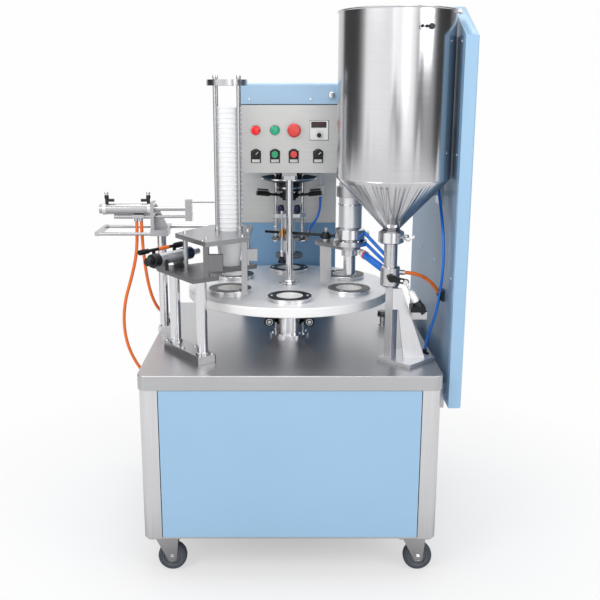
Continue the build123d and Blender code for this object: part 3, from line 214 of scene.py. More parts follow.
class NodeTree:
    """A tree of nodes, which grows through one method."""

    def __init__(self, tree: bpy.types.NodeTree) -> None:
        """Starts from an empty tree."""
        self.tree = tree
        self.tree.nodes.clear()

    def node(self, kind: str, settings: Optional[dict] = None,
             values: Union[dict, Sequence, None] = None) -> Made:
        """Adds one node.

        Args:
            kind: The node's type.
            settings: Its own settings, set first. A ramp's stops are pairs of place and colour.
            values: Numbers, colours or terms for its sockets, by name or in order.

        Returns:
            The node.
        """
        node = self.tree.nodes.new(kind)
        for key, value in (settings or {}).items():
            if key == "stops":
                self.set_stops(node.color_ramp, value)
            else:
                setattr(node, key, value)
        pairs = values.items() if isinstance(values, dict) else enumerate(values or [])
        for key, value in pairs:
            self.feed(node.inputs[key], value)
        return Made(self, node)

    def set_stops(self, ramp: bpy.types.ColorRamp, stops: Sequence[tuple]) -> None:
        """Sets the stops of a colour ramp."""
        while len(ramp.elements) < len(stops):
            ramp.elements.new(0.5)
        for element, (place, colour) in zip(ramp.elements, stops):
            element.position = place
            element.color = colour

    def feed(self, socket: bpy.types.NodeSocket, value: object) -> None:
        """Links a term to a socket, or sets a plain value on it."""
        if isinstance(value, Term):
            self.tree.links.new(value.socket, socket)
        else:
            socket.default_value = value


class Recipe(NodeTree):
    """The node tree of one material."""

    def __init__(self, name: str) -> None:
        """Starts a material with a shader that feeds its output."""
        self.material = bpy.data.materials.new(name)
        self.material.use_nodes = True
        super().__init__(self.material.node_tree)
        self.end = self.node("ShaderNodeOutputMaterial").node
        self.shader = self.node("ShaderNodeBsdfPrincipled")
        self.show(self.shader.out())

    def show(self, surface: Term) -> None:
        """Makes a surface or a light the one that the material shows."""
        self.feed(self.end.inputs[0], surface)

    def set(self, name: str, value: object) -> None:
        """Sets or links one socket of the main shader."""
        self.feed(self.shader.node.inputs[name], value)

    def place(self, scale: Point = (1.0, 1.0, 1.0), turn: Point = (0.0, 0.0, 0.0)) -> Term:
        """Gives the place on the object, stretched and turned for a pattern."""
        where = self.node("ShaderNodeTexCoord").out("Object")
        values = {"Vector": where, "Rotation": turn, "Scale": scale}
        return self.node("ShaderNodeMapping", {}, values).out()

    def noise(self, where: Term, scale: float, detail: float = 3.0, rough: float = 0.5) -> Term:
        """Gives cloudy values around one half."""
        values = {"Vector": where, "Scale": scale, "Detail": detail, "Roughness": rough}
        return self.node("ShaderNodeTexNoise", {}, values).out(0)

    def mix(self, share: Number, first: object, second: object) -> Term:
        """Mixes two colours."""
        values = {0: share, 6: first, 7: second}
        return self.node("ShaderNodeMix", {"data_type": "RGBA"}, values).out(2)

    def bump(self, height: Term, strength: float, depth: float) -> None:
        """Feeds a height into the shader's normal."""
        values = {"Height": height, "Strength": strength, "Distance": depth}
        self.set("Normal", self.node("ShaderNodeBump", {}, values).out())


@dataclass(frozen=True)
class Finish:
    """A plain surface. The kinds below add what the real one shows."""

    name: str
    shade: Shade
    rough: float = 0.4
    metal: float = 0.0
    coat: float = 0.0
    slot: str = ""
    coat_rough: float = 0.12

    def material(self) -> bpy.types.Material:
        """Makes the material, or finds the one that is made already."""
        found = bpy.data.materials.get(self.name)
        if found:
            return found
        recipe = Recipe(self.name)
        recipe.set("Base Color", linear(self.shade))
        recipe.set("Roughness", self.rough)
        recipe.set("Metallic", self.metal)
        recipe.set("Coat Weight", self.coat)
        recipe.set("Coat Roughness", self.coat_rough)
        self.detail(recipe)
        return recipe.material

    def detail(self, recipe: Recipe) -> None:
        """Adds nothing to a plain surface."""

    def darker(self, share: float) -> tuple[float, float, float, float]:
        """Gives the finish's colour with its light cut to a share."""
        r, g, b, a = linear(self.shade)
        return (r * share, g * share, b * share, a)


@dataclass(frozen=True)
class SheetPaint(Finish):
    """Satin paint on folded sheet: a fine orange peel and faint rub marks."""

    slot: str = "blue_paint"
    peel: float = 900.0

    def detail(self, recipe: Recipe) -> None:
        """Adds the peel, the rub marks and a slight drift of tone."""
        where = recipe.place()
        drift = recipe.noise(where, scale=3.0, detail=4.0)
        rubs = recipe.noise(recipe.place((6.0, 6.0, 30.0)), scale=3.0, detail=6.0, rough=0.7)
        share = (drift * 0.7 + rubs * 0.3 - 0.25).clipped()
        recipe.set("Base Color", recipe.mix(share, self.darker(0.93), self.darker(1.05)))
        recipe.set("Roughness", self.rough - 0.05 + rubs * 0.1)
        peel = recipe.noise(where, scale=self.peel, detail=2.0)
        recipe.bump(peel, strength=0.12, depth=0.0004)


class Grain(Enum):
    """The way in which a brushed surface was drawn."""

    ALONG_X = (4.0, 420.0, 420.0)
    ALONG_Y = (420.0, 4.0, 420.0)
    ALONG_Z = (420.0, 420.0, 4.0)
    ROUND_Z = (5.0, 5.0, 700.0)


@dataclass(frozen=True)
class BrushedSteel(Finish):
    """Brushed or turned metal: fine streaks in tone, gloss and height."""

    slot: str = "stainless"
    grain: Grain = Grain.ALONG_X
    depth: float = 0.25
    marks: float = 0.10

    def detail(self, recipe: Recipe) -> None:
        """Adds the streaks and a few cloudy handling marks."""
        streaks = recipe.noise(recipe.place(self.grain.value), scale=1.0, detail=4.0, rough=0.65)
        clouds = recipe.noise(recipe.place(), scale=7.0, detail=5.0, rough=0.6)
        tone = (streaks * 0.75 + clouds * 0.25).clipped()
        recipe.set("Base Color", recipe.mix(tone, self.darker(0.82), self.darker(1.12)))
        wear = streaks * (self.marks * 1.2) + clouds * (self.marks * 0.8)
        recipe.set("Roughness", (self.rough - self.marks + wear).clipped())
        recipe.bump(streaks, strength=self.depth, depth=0.00015)


@dataclass(frozen=True)
class PolishedSteel(Finish):
    """Bright metal with hair scratches and finger haze."""

    slot: str = "polished_steel"
    haze: float = 0.12

    def detail(self, recipe: Recipe) -> None:
        """Adds haze, hair scratches and a very slight wave."""
        clouds = recipe.noise(recipe.place(), scale=9.0, detail=6.0, rough=0.62)
        drawn = recipe.place((90.0, 900.0, 300.0), (0.4, 0.3, 0.6))
        hairs = recipe.noise(drawn, scale=1.0, detail=3.0, rough=0.8)
        recipe.set("Base Color", recipe.mix(clouds, self.darker(0.94), self.darker(1.05)))
        dull = (clouds - 0.45) * self.haze + (hairs - 0.5) * 0.08
        recipe.set("Roughness", (self.rough + dull).clipped())
        recipe.bump(hairs, strength=0.05, depth=0.0001)


@dataclass(frozen=True)
class Moulded(Finish):
    """Moulded plastic or rubber with a fine grain."""

    slot: str = "black_plastic"
    grain_scale: float = 1400.0
    grain_depth: float = 0.15

    def detail(self, recipe: Recipe) -> None:
        """Adds the grain and a faint unevenness of gloss."""
        where = recipe.place()
        grain = recipe.noise(where, scale=self.grain_scale, detail=2.0)
        clouds = recipe.noise(where, scale=25.0, detail=4.0)
        recipe.set("Base Color", recipe.mix(clouds, self.darker(0.9), self.darker(1.1)))
        recipe.set("Roughness", (self.rough - 0.06 + clouds * 0.12).clipped())
        recipe.bump(grain, strength=self.grain_depth, depth=0.0003)


@dataclass(frozen=True)
class Paper(Finish):
    """Coated cup paper: soft fibres under a thin gloss."""

    slot: str = "cup_paper"

    def detail(self, recipe: Recipe) -> None:
        """Adds fibres and a faint shadow between them."""
        fibres = recipe.noise(recipe.place((300.0, 300.0, 900.0)), scale=1.0, detail=4.0, rough=0.7)
        recipe.set("Base Color", recipe.mix(fibres, self.darker(0.95), self.darker(1.02)))
        recipe.set("Roughness", self.rough + (fibres - 0.5) * 0.1)
        recipe.bump(fibres, strength=0.12, depth=0.0002)


@dataclass(frozen=True)
class Lens(Finish):
    """A ribbed lamp lens or a lit mark, with its own faint light."""

    glow: float = 0.4

    def detail(self, recipe: Recipe) -> None:
        """Adds the ribs and the light."""
        ribs = recipe.noise(recipe.place((700.0, 700.0, 700.0)), scale=1.0, detail=1.0)
        recipe.set("Base Color", recipe.mix(ribs, self.darker(0.85), self.darker(1.15)))
        recipe.set("Emission Color", linear(self.shade))
        recipe.set("Emission Strength", self.glow)
        recipe.bump(ribs, strength=0.2, depth=0.0003)


BLUE = SheetPaint("blue sheet paint", (0.60, 0.75, 0.87), 0.36, coat=0.25)
BLUE_DEEP = SheetPaint("blue column paint", (0.50, 0.67, 0.82), 0.40, coat=0.2)
CAP_BLUE = SheetPaint("blue cap paint", (0.68, 0.81, 0.92), 0.36, coat=0.25)
# A darker copy of the blue paint: painted shade for the side housing's inner face.
SHADED_BLUE = SheetPaint("blue paint darkened by painted shade", (0.45, 0.57, 0.68), 0.45, coat=0.1)
SHEET_X = BrushedSteel("stainless brushed across", (0.74, 0.74, 0.75), 0.30, 1.0)
SHEET_Z = BrushedSteel("stainless brushed upright", (0.86, 0.86, 0.87), 0.32, 0.85,
                       grain=Grain.ALONG_Z)
DISC = BrushedSteel("satin turntable", (0.95, 0.95, 0.95), 0.46, 0.5, grain=Grain.ROUND_Z,
                    depth=0.1, marks=0.06)
TABLE_STEEL = BrushedSteel("stainless table", (0.76, 0.76, 0.77), 0.36, 1.0, depth=0.15,
                           marks=0.08)
PANEL_STEEL = BrushedSteel("stainless panel face", (0.80, 0.80, 0.795), 0.40, 0.75, depth=0.12)
MILLED = BrushedSteel("milled steel", (0.70, 0.70, 0.71), 0.32, 1.0, grain=Grain.ALONG_Y,
                      depth=0.3)
DARK_PLATE = BrushedSteel("dark plate steel", (0.50, 0.50, 0.51), 0.35, 1.0,
                          grain=Grain.ALONG_Y, depth=0.3)
ALLOY = BrushedSteel("drawn alloy", (0.86, 0.865, 0.87), 0.35, 0.75, slot="aluminium",
                     depth=0.15)
TURNED = BrushedSteel("turned steel", (0.78, 0.78, 0.79), 0.20, 1.0, slot="polished_steel",
                      grain=Grain.ROUND_Z, depth=0.2, marks=0.08)
HOPPER_STEEL = BrushedSteel("hopper steel", (0.80, 0.80, 0.81), 0.19, 1.0, slot="polished_steel",
                            grain=Grain.ROUND_Z, depth=0.08, marks=0.05)
BRIGHT = PolishedSteel("polished steel", (0.86, 0.86, 0.87), 0.14, 1.0)
DRAWN = PolishedSteel("drawn steel", (0.72, 0.72, 0.73), 0.2, 1.0)
BRASS = PolishedSteel("turned brass", (0.80, 0.62, 0.44), 0.24, 1.0, slot="brass")
BLACK = Moulded("black plastic", (0.07, 0.07, 0.08), 0.42)
SCREEN = Moulded("meter window", (0.06, 0.035, 0.04), 0.25, coat=0.2, grain_depth=0.0)
BLACK_STEEL = Moulded("blackened steel", (0.12, 0.125, 0.135), 0.38, 0.6, slot="dark_steel",
                      grain_scale=700.0)
DARK_BLUE = Moulded("dark blue cap", (0.05, 0.12, 0.28), 0.35, 0.2, slot="dark_steel")
GREY = Moulded("grey casting", (0.42, 0.44, 0.46), 0.45, 0.3, slot="dark_steel",
               grain_scale=500.0)
RED = Moulded("red plastic", (0.95, 0.24, 0.22), 0.25, coat=0.4, slot="red_plastic",
              grain_depth=0.03)
DIGITS = Moulded("unlit digits", (0.30, 0.07, 0.09), 0.3, slot="red_plastic", grain_depth=0.0)
GREEN = Moulded("green plastic", (0.10, 0.70, 0.48), 0.25, coat=0.4, slot="green_plastic",
                grain_depth=0.03)
WHITE = Moulded("white plastic", (0.95, 0.95, 0.94), 0.4, slot="cup_paper", grain_depth=0.05)
TYRE = Moulded("grey tread", (0.25, 0.27, 0.31), 0.62, slot="tyre", grain_scale=600.0,
               grain_depth=0.4)
RUBBER = Moulded("black rubber", (0.06, 0.06, 0.065), 0.6, slot="tyre", grain_scale=600.0)
ORANGE_TUBE = Moulded("orange air tube", (0.95, 0.45, 0.10), 0.28, coat=0.3, slot="orange_hose",
                      grain_depth=0.02)
BLUE_TUBE = Moulded("blue air tube", (0.07, 0.47, 0.88), 0.25, coat=0.3, slot="blue_hose",
                    grain_depth=0.02)
CUP = Paper("cup paper", (0.93, 0.935, 0.94), 0.42, coat=0.15)
RED_LENS = Lens("red lens", (0.88, 0.04, 0.10), 0.2, coat=0.5, slot="red_plastic")
GREEN_LENS = Lens("green lens", (0.08, 0.62, 0.45), 0.2, coat=0.5, slot="green_plastic")


def finished(piece: bpy.types.Object, finish: Finish, body: str = "frame") -> bpy.types.Object:
    """Gives a piece its finish and the body that it moves with.

    Args:
        piece: The object, whose place is in its mesh.
        finish: Its finish.
        body: The body that carries it.

    Returns:
        The same object.
    """
    if not piece.data.materials:
        piece.data.materials.append(finish.material())
    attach(piece, body)
    log.info("piece %s on %s", piece.name, body)
    return piece


def as_object(name: str, shape: bmesh.types.BMesh) -> bpy.types.Object:
    """Turns a worked shape, which it frees, into an object at the origin."""
    mesh = bpy.data.meshes.new(name)
    shape.to_mesh(mesh)
    shape.free()
    return linked(name, mesh)


def turn_to(way: Point) -> Matrix:
    """Gives the turn that takes the Z axis to a direction."""
    return Vector(way).to_track_quat("Z", "Y").to_matrix().to_4x4()


class Shaper:
    """Gathers simple worked forms into one shape."""

    def __init__(self) -> None:
        """Starts with nothing."""
        self.shape = bmesh.new()

    def lathe(self, start: Vector, way: Point, profile: Profile, steps: int = 32) -> "Shaper":
        """Adds a closed turned form.

        Args:
            start: Where the axis starts.
            way: The axis' direction.
            profile: Pairs of radius and distance along the axis, both in millimetres, first
                and last on the axis, or a ring that closes on itself.
            steps: How many faces go round.

        Returns:
            This shaper.
        """
        frame = Matrix.Translation(start) @ turn_to(way)
        closed = profile[0][0] > 0 or profile[-1][0] > 0
        rings = []
        for radius, along in profile:
            if radius == 0:
                rings.append([self.shape.verts.new(frame @ Vector((0, 0, along * MM)))])
                continue
            spots = around(Vector((0, 0, along * MM)), radius, steps)
            rings.append([self.shape.verts.new(frame @ spot) for spot in spots])
        pairs = list(zip(rings, rings[1:]))
        if closed:
            pairs.append((rings[-1], rings[0]))
        for low, high in pairs:
            for k in range(steps):
                corners = [low[k % len(low)], low[(k + 1) % len(low)],
                           high[(k + 1) % len(high)], high[k % len(high)]]
                unique = list(dict.fromkeys(corners))
                if len(unique) > 2:
                    self.shape.faces.new(unique)
        return self

    def slab(self, low: Vector, high: Vector, edge: float) -> "Shaper":
        """Adds a block with eased edges.

        Args:
            low: Its lowest corner.
            high: Its highest corner.
            edge: The width of the eased edge in millimetres.

        Returns:
            This shaper.
        """
        made = bmesh.ops.create_cube(self.shape, size=1.0)["verts"]
        middle = (Vector(low) + Vector(high)) / 2
        size = Vector(high) - Vector(low)
        bmesh.ops.scale(self.shape, verts=made, vec=size)
        lines = list(dict.fromkeys(line for vert in made for line in vert.link_edges))
        bevel = bmesh.ops.bevel(self.shape, geom=lines, offset=edge * MM, segments=2,
                                affect="EDGES", profile=0.5)
        made = [vert for vert in made if vert.is_valid]
        made += [vert for face in bevel["faces"] for vert in face.verts]
        bmesh.ops.translate(self.shape, verts=list(dict.fromkeys(made)), vec=middle)
        return self

    def plate(self, points: Sequence[Vector], way: Point, thick: float) -> "Shaper":
        """Adds a flat plate from its outline and its thickness in millimetres."""
        push = Vector(way).normalized() * thick * MM
        near = [self.shape.verts.new(p) for p in points]
        far = [self.shape.verts.new(Vector(p) + push) for p in points]
        self.shape.faces.new(near)
        self.shape.faces.new(far)
        for k in range(len(points)):
            after = (k + 1) % len(points)
            self.shape.faces.new([near[k], near[after], far[after], far[k]])
        return self

    def done(self, name: str, finish: Finish, body: str = "frame",
             ease: float = 0.0) -> bpy.types.Object:
        """Makes the piece.

        Args:
            name: The piece's name.
            finish: Its finish.
            body: The body that carries it.
            ease: The width of eased edges in millimetres, or 0.

        Returns:
            The object.
        """
        bmesh.ops.remove_doubles(self.shape, verts=self.shape.verts, dist=SHAPE_MERGE)
        bmesh.ops.recalc_face_normals(self.shape, faces=self.shape.faces)
        piece = as_object(name, self.shape)
        shade(piece)
        if ease:
            ease_edges(piece, ease)
        return finished(piece, finish, body)


def turned(name: str, start: Vector, way: Point, profile: Profile, finish: Finish,
           body: str = "frame", steps: int = 32) -> bpy.types.Object:
    """Makes a piece of one turned form.

    Args:
        name: The piece's name.
        start: Where the axis starts.
        way: The axis' direction.
        profile: Pairs of radius and distance along the axis in millimetres.
        finish: The piece's finish.
        body: The body that carries it.
        steps: How many faces go round.

    Returns:
        The piece.
    """
    return Shaper().lathe(start, way, profile, steps).done(name, finish, body)


def block(name: str, low: Vector, high: Vector, edge: float, finish: Finish) -> bpy.types.Object:
    """Makes a piece of one block between two corners, with its edges eased by millimetres."""
    return Shaper().slab(low, high, edge).done(name, finish)


def settle(piece: bpy.types.Object) -> bpy.types.Object:
    """Applies a piece's modifiers to its mesh."""
    bpy.context.view_layer.update()
    ready = piece.evaluated_get(bpy.context.evaluated_depsgraph_get())
    mesh = bpy.data.meshes.new_from_object(ready)
    piece.modifiers.clear()
    old = piece.data
    piece.data = mesh
    mesh.name = piece.name
    bpy.data.meshes.remove(old)
    return piece


def shade(piece: bpy.types.Object, angle: float = SHARP_ANGLE) -> None:
    """Shades a piece smooth, with its large faces kept true beside small ones.

    Args:
        piece: The object.
        angle: Faces that meet at more than this many degrees keep a sharp edge.
    """
    piece.data.shade_smooth()
    piece.data.set_sharp_from_angle(angle=math.radians(angle))
    even = piece.modifiers.new("even", "WEIGHTED_NORMAL")
    even.mode = "FACE_AREA"
    even.weight = 60
    even.keep_sharp = True
    settle(piece)


def ease_edges(piece: bpy.types.Object, width: float) -> None:
    """Rounds a piece's sharp edges by a width in millimetres and shades them smooth."""
    bevel = piece.modifiers.new("ease", "BEVEL")
    bevel.width = width * MM
    bevel.segments = 2
    bevel.limit_method = "ANGLE"
    bevel.angle_limit = math.radians(EASED_FROM)
    bevel.use_clamp_overlap = True
    settle(piece)
    shade(piece, EASED_SHARP)


Rule = Callable[[Vector, Vector], Finish]


def told_by(measure: str, limit: float, over: Union[Finish, Rule],
            under: Union[Finish, Rule]) -> Rule:
    """Makes a rule that tells the solids of a node apart at a limit in millimetres.

    Args:
        measure: A solid's width, depth, height or length, which is the longest of the three,
            or the x, y or z of its middle.
        limit: The limit.
        over: The finish past the limit, or a rule that tells those solids apart further.
        under: The same for the others.

    Returns:
        The rule.
    """
    def rule(middle: Vector, size: Vector) -> Finish:
        """Gives the finish of a solid from its middle and size."""
        known = {"width": size.x, "depth": size.y, "height": size.z, "length": max(size),
                 "x": middle.x, "y": middle.y, "z": middle.z}
        chosen = over if known[measure] > limit else under
        return chosen if isinstance(chosen, Finish) else chosen(middle, size)

    return rule


def loose_parts(shape: bmesh.types.BMesh) -> list[list[bmesh.types.BMFace]]:
    """Finds the solids in a shape.

    Args:
        shape: The shape, with its doubles merged.

    Returns:
        The faces of each solid.
    """
    found: set[bmesh.types.BMFace] = set()
    parts = []
    for first in shape.faces:
        if first in found:
            continue
        found.add(first)
        part = [first]
        for face in part:
            for other in [f for line in face.edges for f in line.link_faces]:
                if other not in found:
                    found.add(other)
                    part.append(other)
        parts.append(part)
    return parts


def solid_in(part: Iterable[bmesh.types.BMFace]) -> tuple[Vector, Vector]:
    """Gives a solid's middle and size in millimetres, with the height above the table top."""
    spots = [vert.co for face in part for vert in face.verts]
    low = Vector([min(spot[k] for spot in spots) for k in range(3)])
    high = Vector([max(spot[k] for spot in spots) for k in range(3)])
    middle = (low + high) / 2 - Vector((0, 0, TABLE))
    return middle / MM, (high - low) / MM


def dress(node: str, finish: Union[Finish, Rule], body: str = "frame", ease: float = 0.5) -> None:
    """Makes a finer copy of a node, with eased edges and its finishes, which stands for it.

    Args:
        node: The node's name.
        finish: One finish, or a rule that gives one from a solid's middle and size, both in
            millimetres with the middle's height above the table top.
        body: The body that carries it.
        ease: The width of the eased edges in millimetres, or 0 for none.
    """
    shape = bmesh.new()
    shape.from_mesh(solids[node].data)
    bmesh.ops.remove_doubles(shape, verts=shape.verts, dist=SOLID_MERGE)
    finishes: list[Finish] = []
    for part in loose_parts(shape):
        chosen = finish if isinstance(finish, Finish) else finish(*solid_in(part))
        if chosen not in finishes:
            finishes.append(chosen)
        for face in part:
            face.material_index = finishes.index(chosen)
    bmesh.ops.dissolve_limit(shape, angle_limit=math.radians(FLAT_ANGLE), verts=shape.verts,
                             edges=shape.edges, delimit={"MATERIAL"})
    piece = as_object(node + "_look", shape)
    for chosen in finishes:
        piece.data.materials.append(chosen.material())
    if ease:
        ease_edges(piece, ease)
    else:
        shade(piece)
    finished(piece, finishes[0], body)
    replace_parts(piece, node)


class FormTree(NodeTree):
    """A Geometry Nodes tree with named inputs for its sizes."""

    def __init__(self, name: str, sizes: dict[str, float]) -> None:
        """Starts a tree.

        Args:
            name: The tree's name.
            sizes: Its number inputs and what they are unless set. A whole number makes a count.
        """
        super().__init__(bpy.data.node_groups.new(name, "GeometryNodeTree"))
        face = self.tree.interface
        face.new_socket("Geometry", in_out="INPUT", socket_type="NodeSocketGeometry")
        for key, value in sizes.items():
            kind = "NodeSocketInt" if isinstance(value, int) else "NodeSocketFloat"
            face.new_socket(key, in_out="INPUT", socket_type=kind).default_value = value
        face.new_socket("Material", in_out="INPUT", socket_type="NodeSocketMaterial")
        face.new_socket("Geometry", in_out="OUTPUT", socket_type="NodeSocketGeometry")
        self.given = self.node("NodeGroupInput")
        self.end = self.node("NodeGroupOutput").node

    def size(self, name: str) -> Term:
        """Gives one of the tree's inputs."""
        return self.given.out(name)

    def vector(self, x: Number, y: Number, z: Number) -> Term:
        """Joins three values."""
        return self.node("ShaderNodeCombineXYZ", {}, [x, y, z]).out()

    def circle(self, steps: Number, radius: Term) -> Term:
        """Gives a round line."""
        return self.node("GeometryNodeCurvePrimitiveCircle", {"mode": "RADIUS"},
                         {"Resolution": steps, "Radius": radius}).out()

    def swept(self, path: Term, profile: Term, capped: bool = False) -> Term:
        """Draws a profile along a path."""
        values = {"Curve": path, "Profile Curve": profile, "Fill Caps": capped}
        return self.node("GeometryNodeCurveToMesh", {}, values).out()

    def aim(self) -> Term:
        """Gives the turn that points a form in the direction that each seed point knows."""
        way = self.node("GeometryNodeInputNamedAttribute", {"data_type": "FLOAT_VECTOR"},
                        {"Name": "way"}).out()
        return self.node("FunctionNodeAlignRotationToVector", {"axis": "Z"},
                         {"Vector": way}).out()

    def at_points(self, form: Term, points: Optional[Term] = None,
                  turn: Optional[Term] = None) -> Term:
        """Sets a form on each point.

        Args:
            form: The form.
            points: The points, or the seed's own where none are given.
            turn: The form's turn at each point, if it has one.

        Returns:
            The forms, still as instances.
        """
        values = {"Points": points or self.size("Geometry"), "Instance": form}
        if turn:
            values["Rotation"] = turn
        return self.node("GeometryNodeInstanceOnPoints", {}, values).out()

    def close(self, form: Term) -> None:
        """Ends the tree: real geometry with its material."""
        real = self.node("GeometryNodeRealizeInstances", {}, {"Geometry": form}).out()
        values = {"Geometry": real, "Material": self.size("Material")}
        done = self.node("GeometryNodeSetMaterial", {}, values).out()
        self.feed(self.end.inputs[0], done)

    def grow(self, name: str, seed: bpy.types.Mesh, finish: Finish, body: str = "frame",
             **sizes: float) -> bpy.types.Object:
        """Runs the tree on a mesh and keeps the result as a plain piece.

        Args:
            name: The piece's name.
            seed: The mesh whose points or lines the tree follows.
            finish: The piece's finish.
            body: The body that carries it.
            sizes: The tree's inputs, with spaces written as underlines.

        Returns:
            The piece.
        """
        piece = linked(name, seed)
        modifier = piece.modifiers.new("form", "NODES")
        modifier.node_group = self.tree
        keys = {item.name: item.identifier for item in self.tree.interface.items_tree
                if item.in_out == "INPUT"}
        for key, value in sizes.items():
            modifier[keys[key.replace("_", " ")]] = value
        modifier[keys["Material"]] = finish.material()
        settle(piece)
        piece.data.shade_smooth()
        piece.data.set_sharp_from_angle(angle=math.radians(SHARP_ANGLE))
        return finished(piece, finish, body)


def spots_mesh(name: str, spots: Spots) -> bpy.types.Mesh:
    """Makes a mesh of loose points that each know a direction.

    Args:
        name: The mesh's name.
        spots: Pairs of place and direction.

    Returns:
        The mesh.
    """
    pairs = list(spots)
    mesh = bpy.data.meshes.new(name)
    mesh.from_pydata([place for place, _ in pairs], [], [])
    ways = mesh.attributes.new("way", "FLOAT_VECTOR", "POINT")
    ways.data.foreach_set("vector", [c for _, way in pairs for c in Vector(way).normalized()])
    return mesh


def build_screw_tree() -> FormTree:
    """Makes the tree that sets a screw head with a socket at each point."""
    tree = FormTree("screw heads", {
        "Sides": 16, "Head Radius": 0.004, "Top Radius": 0.0036, "Head Height": 0.004,
        "Socket Radius": 0.002, "Socket Depth": 0.002})
    head = tree.node("GeometryNodeMeshCone", {"fill_type": "NGON"}, {
        "Vertices": tree.size("Sides"), "Radius Top": tree.size("Top Radius"),
        "Radius Bottom": tree.size("Head Radius"), "Depth": tree.size("Head Height")}).out("Mesh")
    normal = tree.node("GeometryNodeInputNormal").out()
    up = tree.node("ShaderNodeSeparateXYZ", {}, [normal]).out(2)
    top = tree.node("FunctionNodeCompare", {"operation": "GREATER_THAN"}, {0: up, 1: 0.95}).out()
    rim = tree.node("GeometryNodeExtrudeMesh", {"mode": "FACES"},
                    {"Mesh": head, "Selection": top, "Offset Scale": 0.0})
    share = tree.node("ShaderNodeMath", {"operation": "DIVIDE"},
                      [tree.size("Socket Radius"), tree.size("Top Radius")]).out()
    chosen = rim.out("Top")
    mouth = tree.node("GeometryNodeScaleElements", {"domain": "FACE"},
                      {"Geometry": rim.out("Mesh"), "Selection": chosen, "Scale": share}).out()
    depth = tree.size("Socket Depth") * -1.0
    sunk = tree.node("GeometryNodeExtrudeMesh", {"mode": "FACES"},
                     {"Mesh": mouth, "Selection": chosen, "Offset Scale": depth}).out("Mesh")
    tree.close(tree.at_points(sunk, turn=tree.aim()))
    return tree


def build_rib_tree() -> FormTree:
    """Makes the tree that stands ribs round each point's direction, as on a knurled cap."""
    tree = FormTree("ribs round an axis", {
        "Count": 24, "Radius": 0.01, "Length": 0.01, "Width": 0.001, "Depth": 0.001})
    ring = tree.node("GeometryNodeMeshCircle", {}, {
        "Vertices": tree.size("Count"), "Radius": tree.size("Radius")}).out()
    size = tree.vector(tree.size("Depth"), tree.size("Width"), tree.size("Length"))
    rib = tree.node("GeometryNodeMeshCube", {}, {"Size": size}).out("Mesh")
    out = tree.node("GeometryNodeInputPosition").out()
    turn = tree.node("FunctionNodeAlignRotationToVector", {"axis": "X", "pivot_axis": "Z"},
                     {"Vector": out}).out()
    ribs = tree.at_points(rib, ring, turn)
    tree.close(tree.at_points(ribs, turn=tree.aim()))
    return tree


def build_coil_tree() -> FormTree:
    """Makes the tree that stands a coil spring on each point."""
    tree = FormTree("coil springs", {
        "Turns": 6.0, "Coil Radius": 0.008, "Wire Radius": 0.001, "Height": 0.06,
        "Resolution": 28})
    spiral = tree.node("GeometryNodeCurveSpiral", {}, {
        "Resolution": tree.size("Resolution"), "Rotations": tree.size("Turns"),
        "Start Radius": tree.size("Coil Radius"), "End Radius": tree.size("Coil Radius"),
        "Height": tree.size("Height")}).out()
    coil = tree.swept(spiral, tree.circle(8, tree.size("Wire Radius")), True)
    tree.close(tree.at_points(coil))
    return tree


def build_cup_tree() -> FormTree:
    """Makes the tree that nests cups: each shows its rolled lip and a band of its wall."""
    tree = FormTree("nested cups", {
        "Count": 28, "Pitch": 0.013, "Rim Radius": 0.039, "Lip": 0.002, "Wall": 0.0015,
        "Steps": 72})
    path = tree.circle(tree.size("Steps"), tree.size("Rim Radius") - tree.size("Lip"))
    lip = tree.swept(path, tree.circle(10, tree.size("Lip")))
    height = tree.size("Pitch") - tree.size("Lip")
    band = tree.node("GeometryNodeCurvePrimitiveQuadrilateral", {"mode": "RECTANGLE"},
                     {"Width": tree.size("Wall"), "Height": height}).out()
    drop = tree.vector(0.0, 0.0, tree.size("Pitch") * -0.5)
    wall = tree.node("GeometryNodeTransform", {}, {
        "Geometry": tree.swept(path, band), "Translation": drop,
        "Scale": (0.975, 0.975, 1.0)}).out()
    cup = tree.node("GeometryNodeJoinGeometry")
    for form in (lip, wall):
        tree.feed(cup.node.inputs[0], form)
    step = tree.vector(0.0, 0.0, tree.size("Pitch"))
    line = tree.node("GeometryNodeMeshLine", {}, {
        "Count": tree.size("Count"), "Offset": step}).out()
    tree.close(tree.at_points(tree.at_points(cup.out(), line)))
    return tree


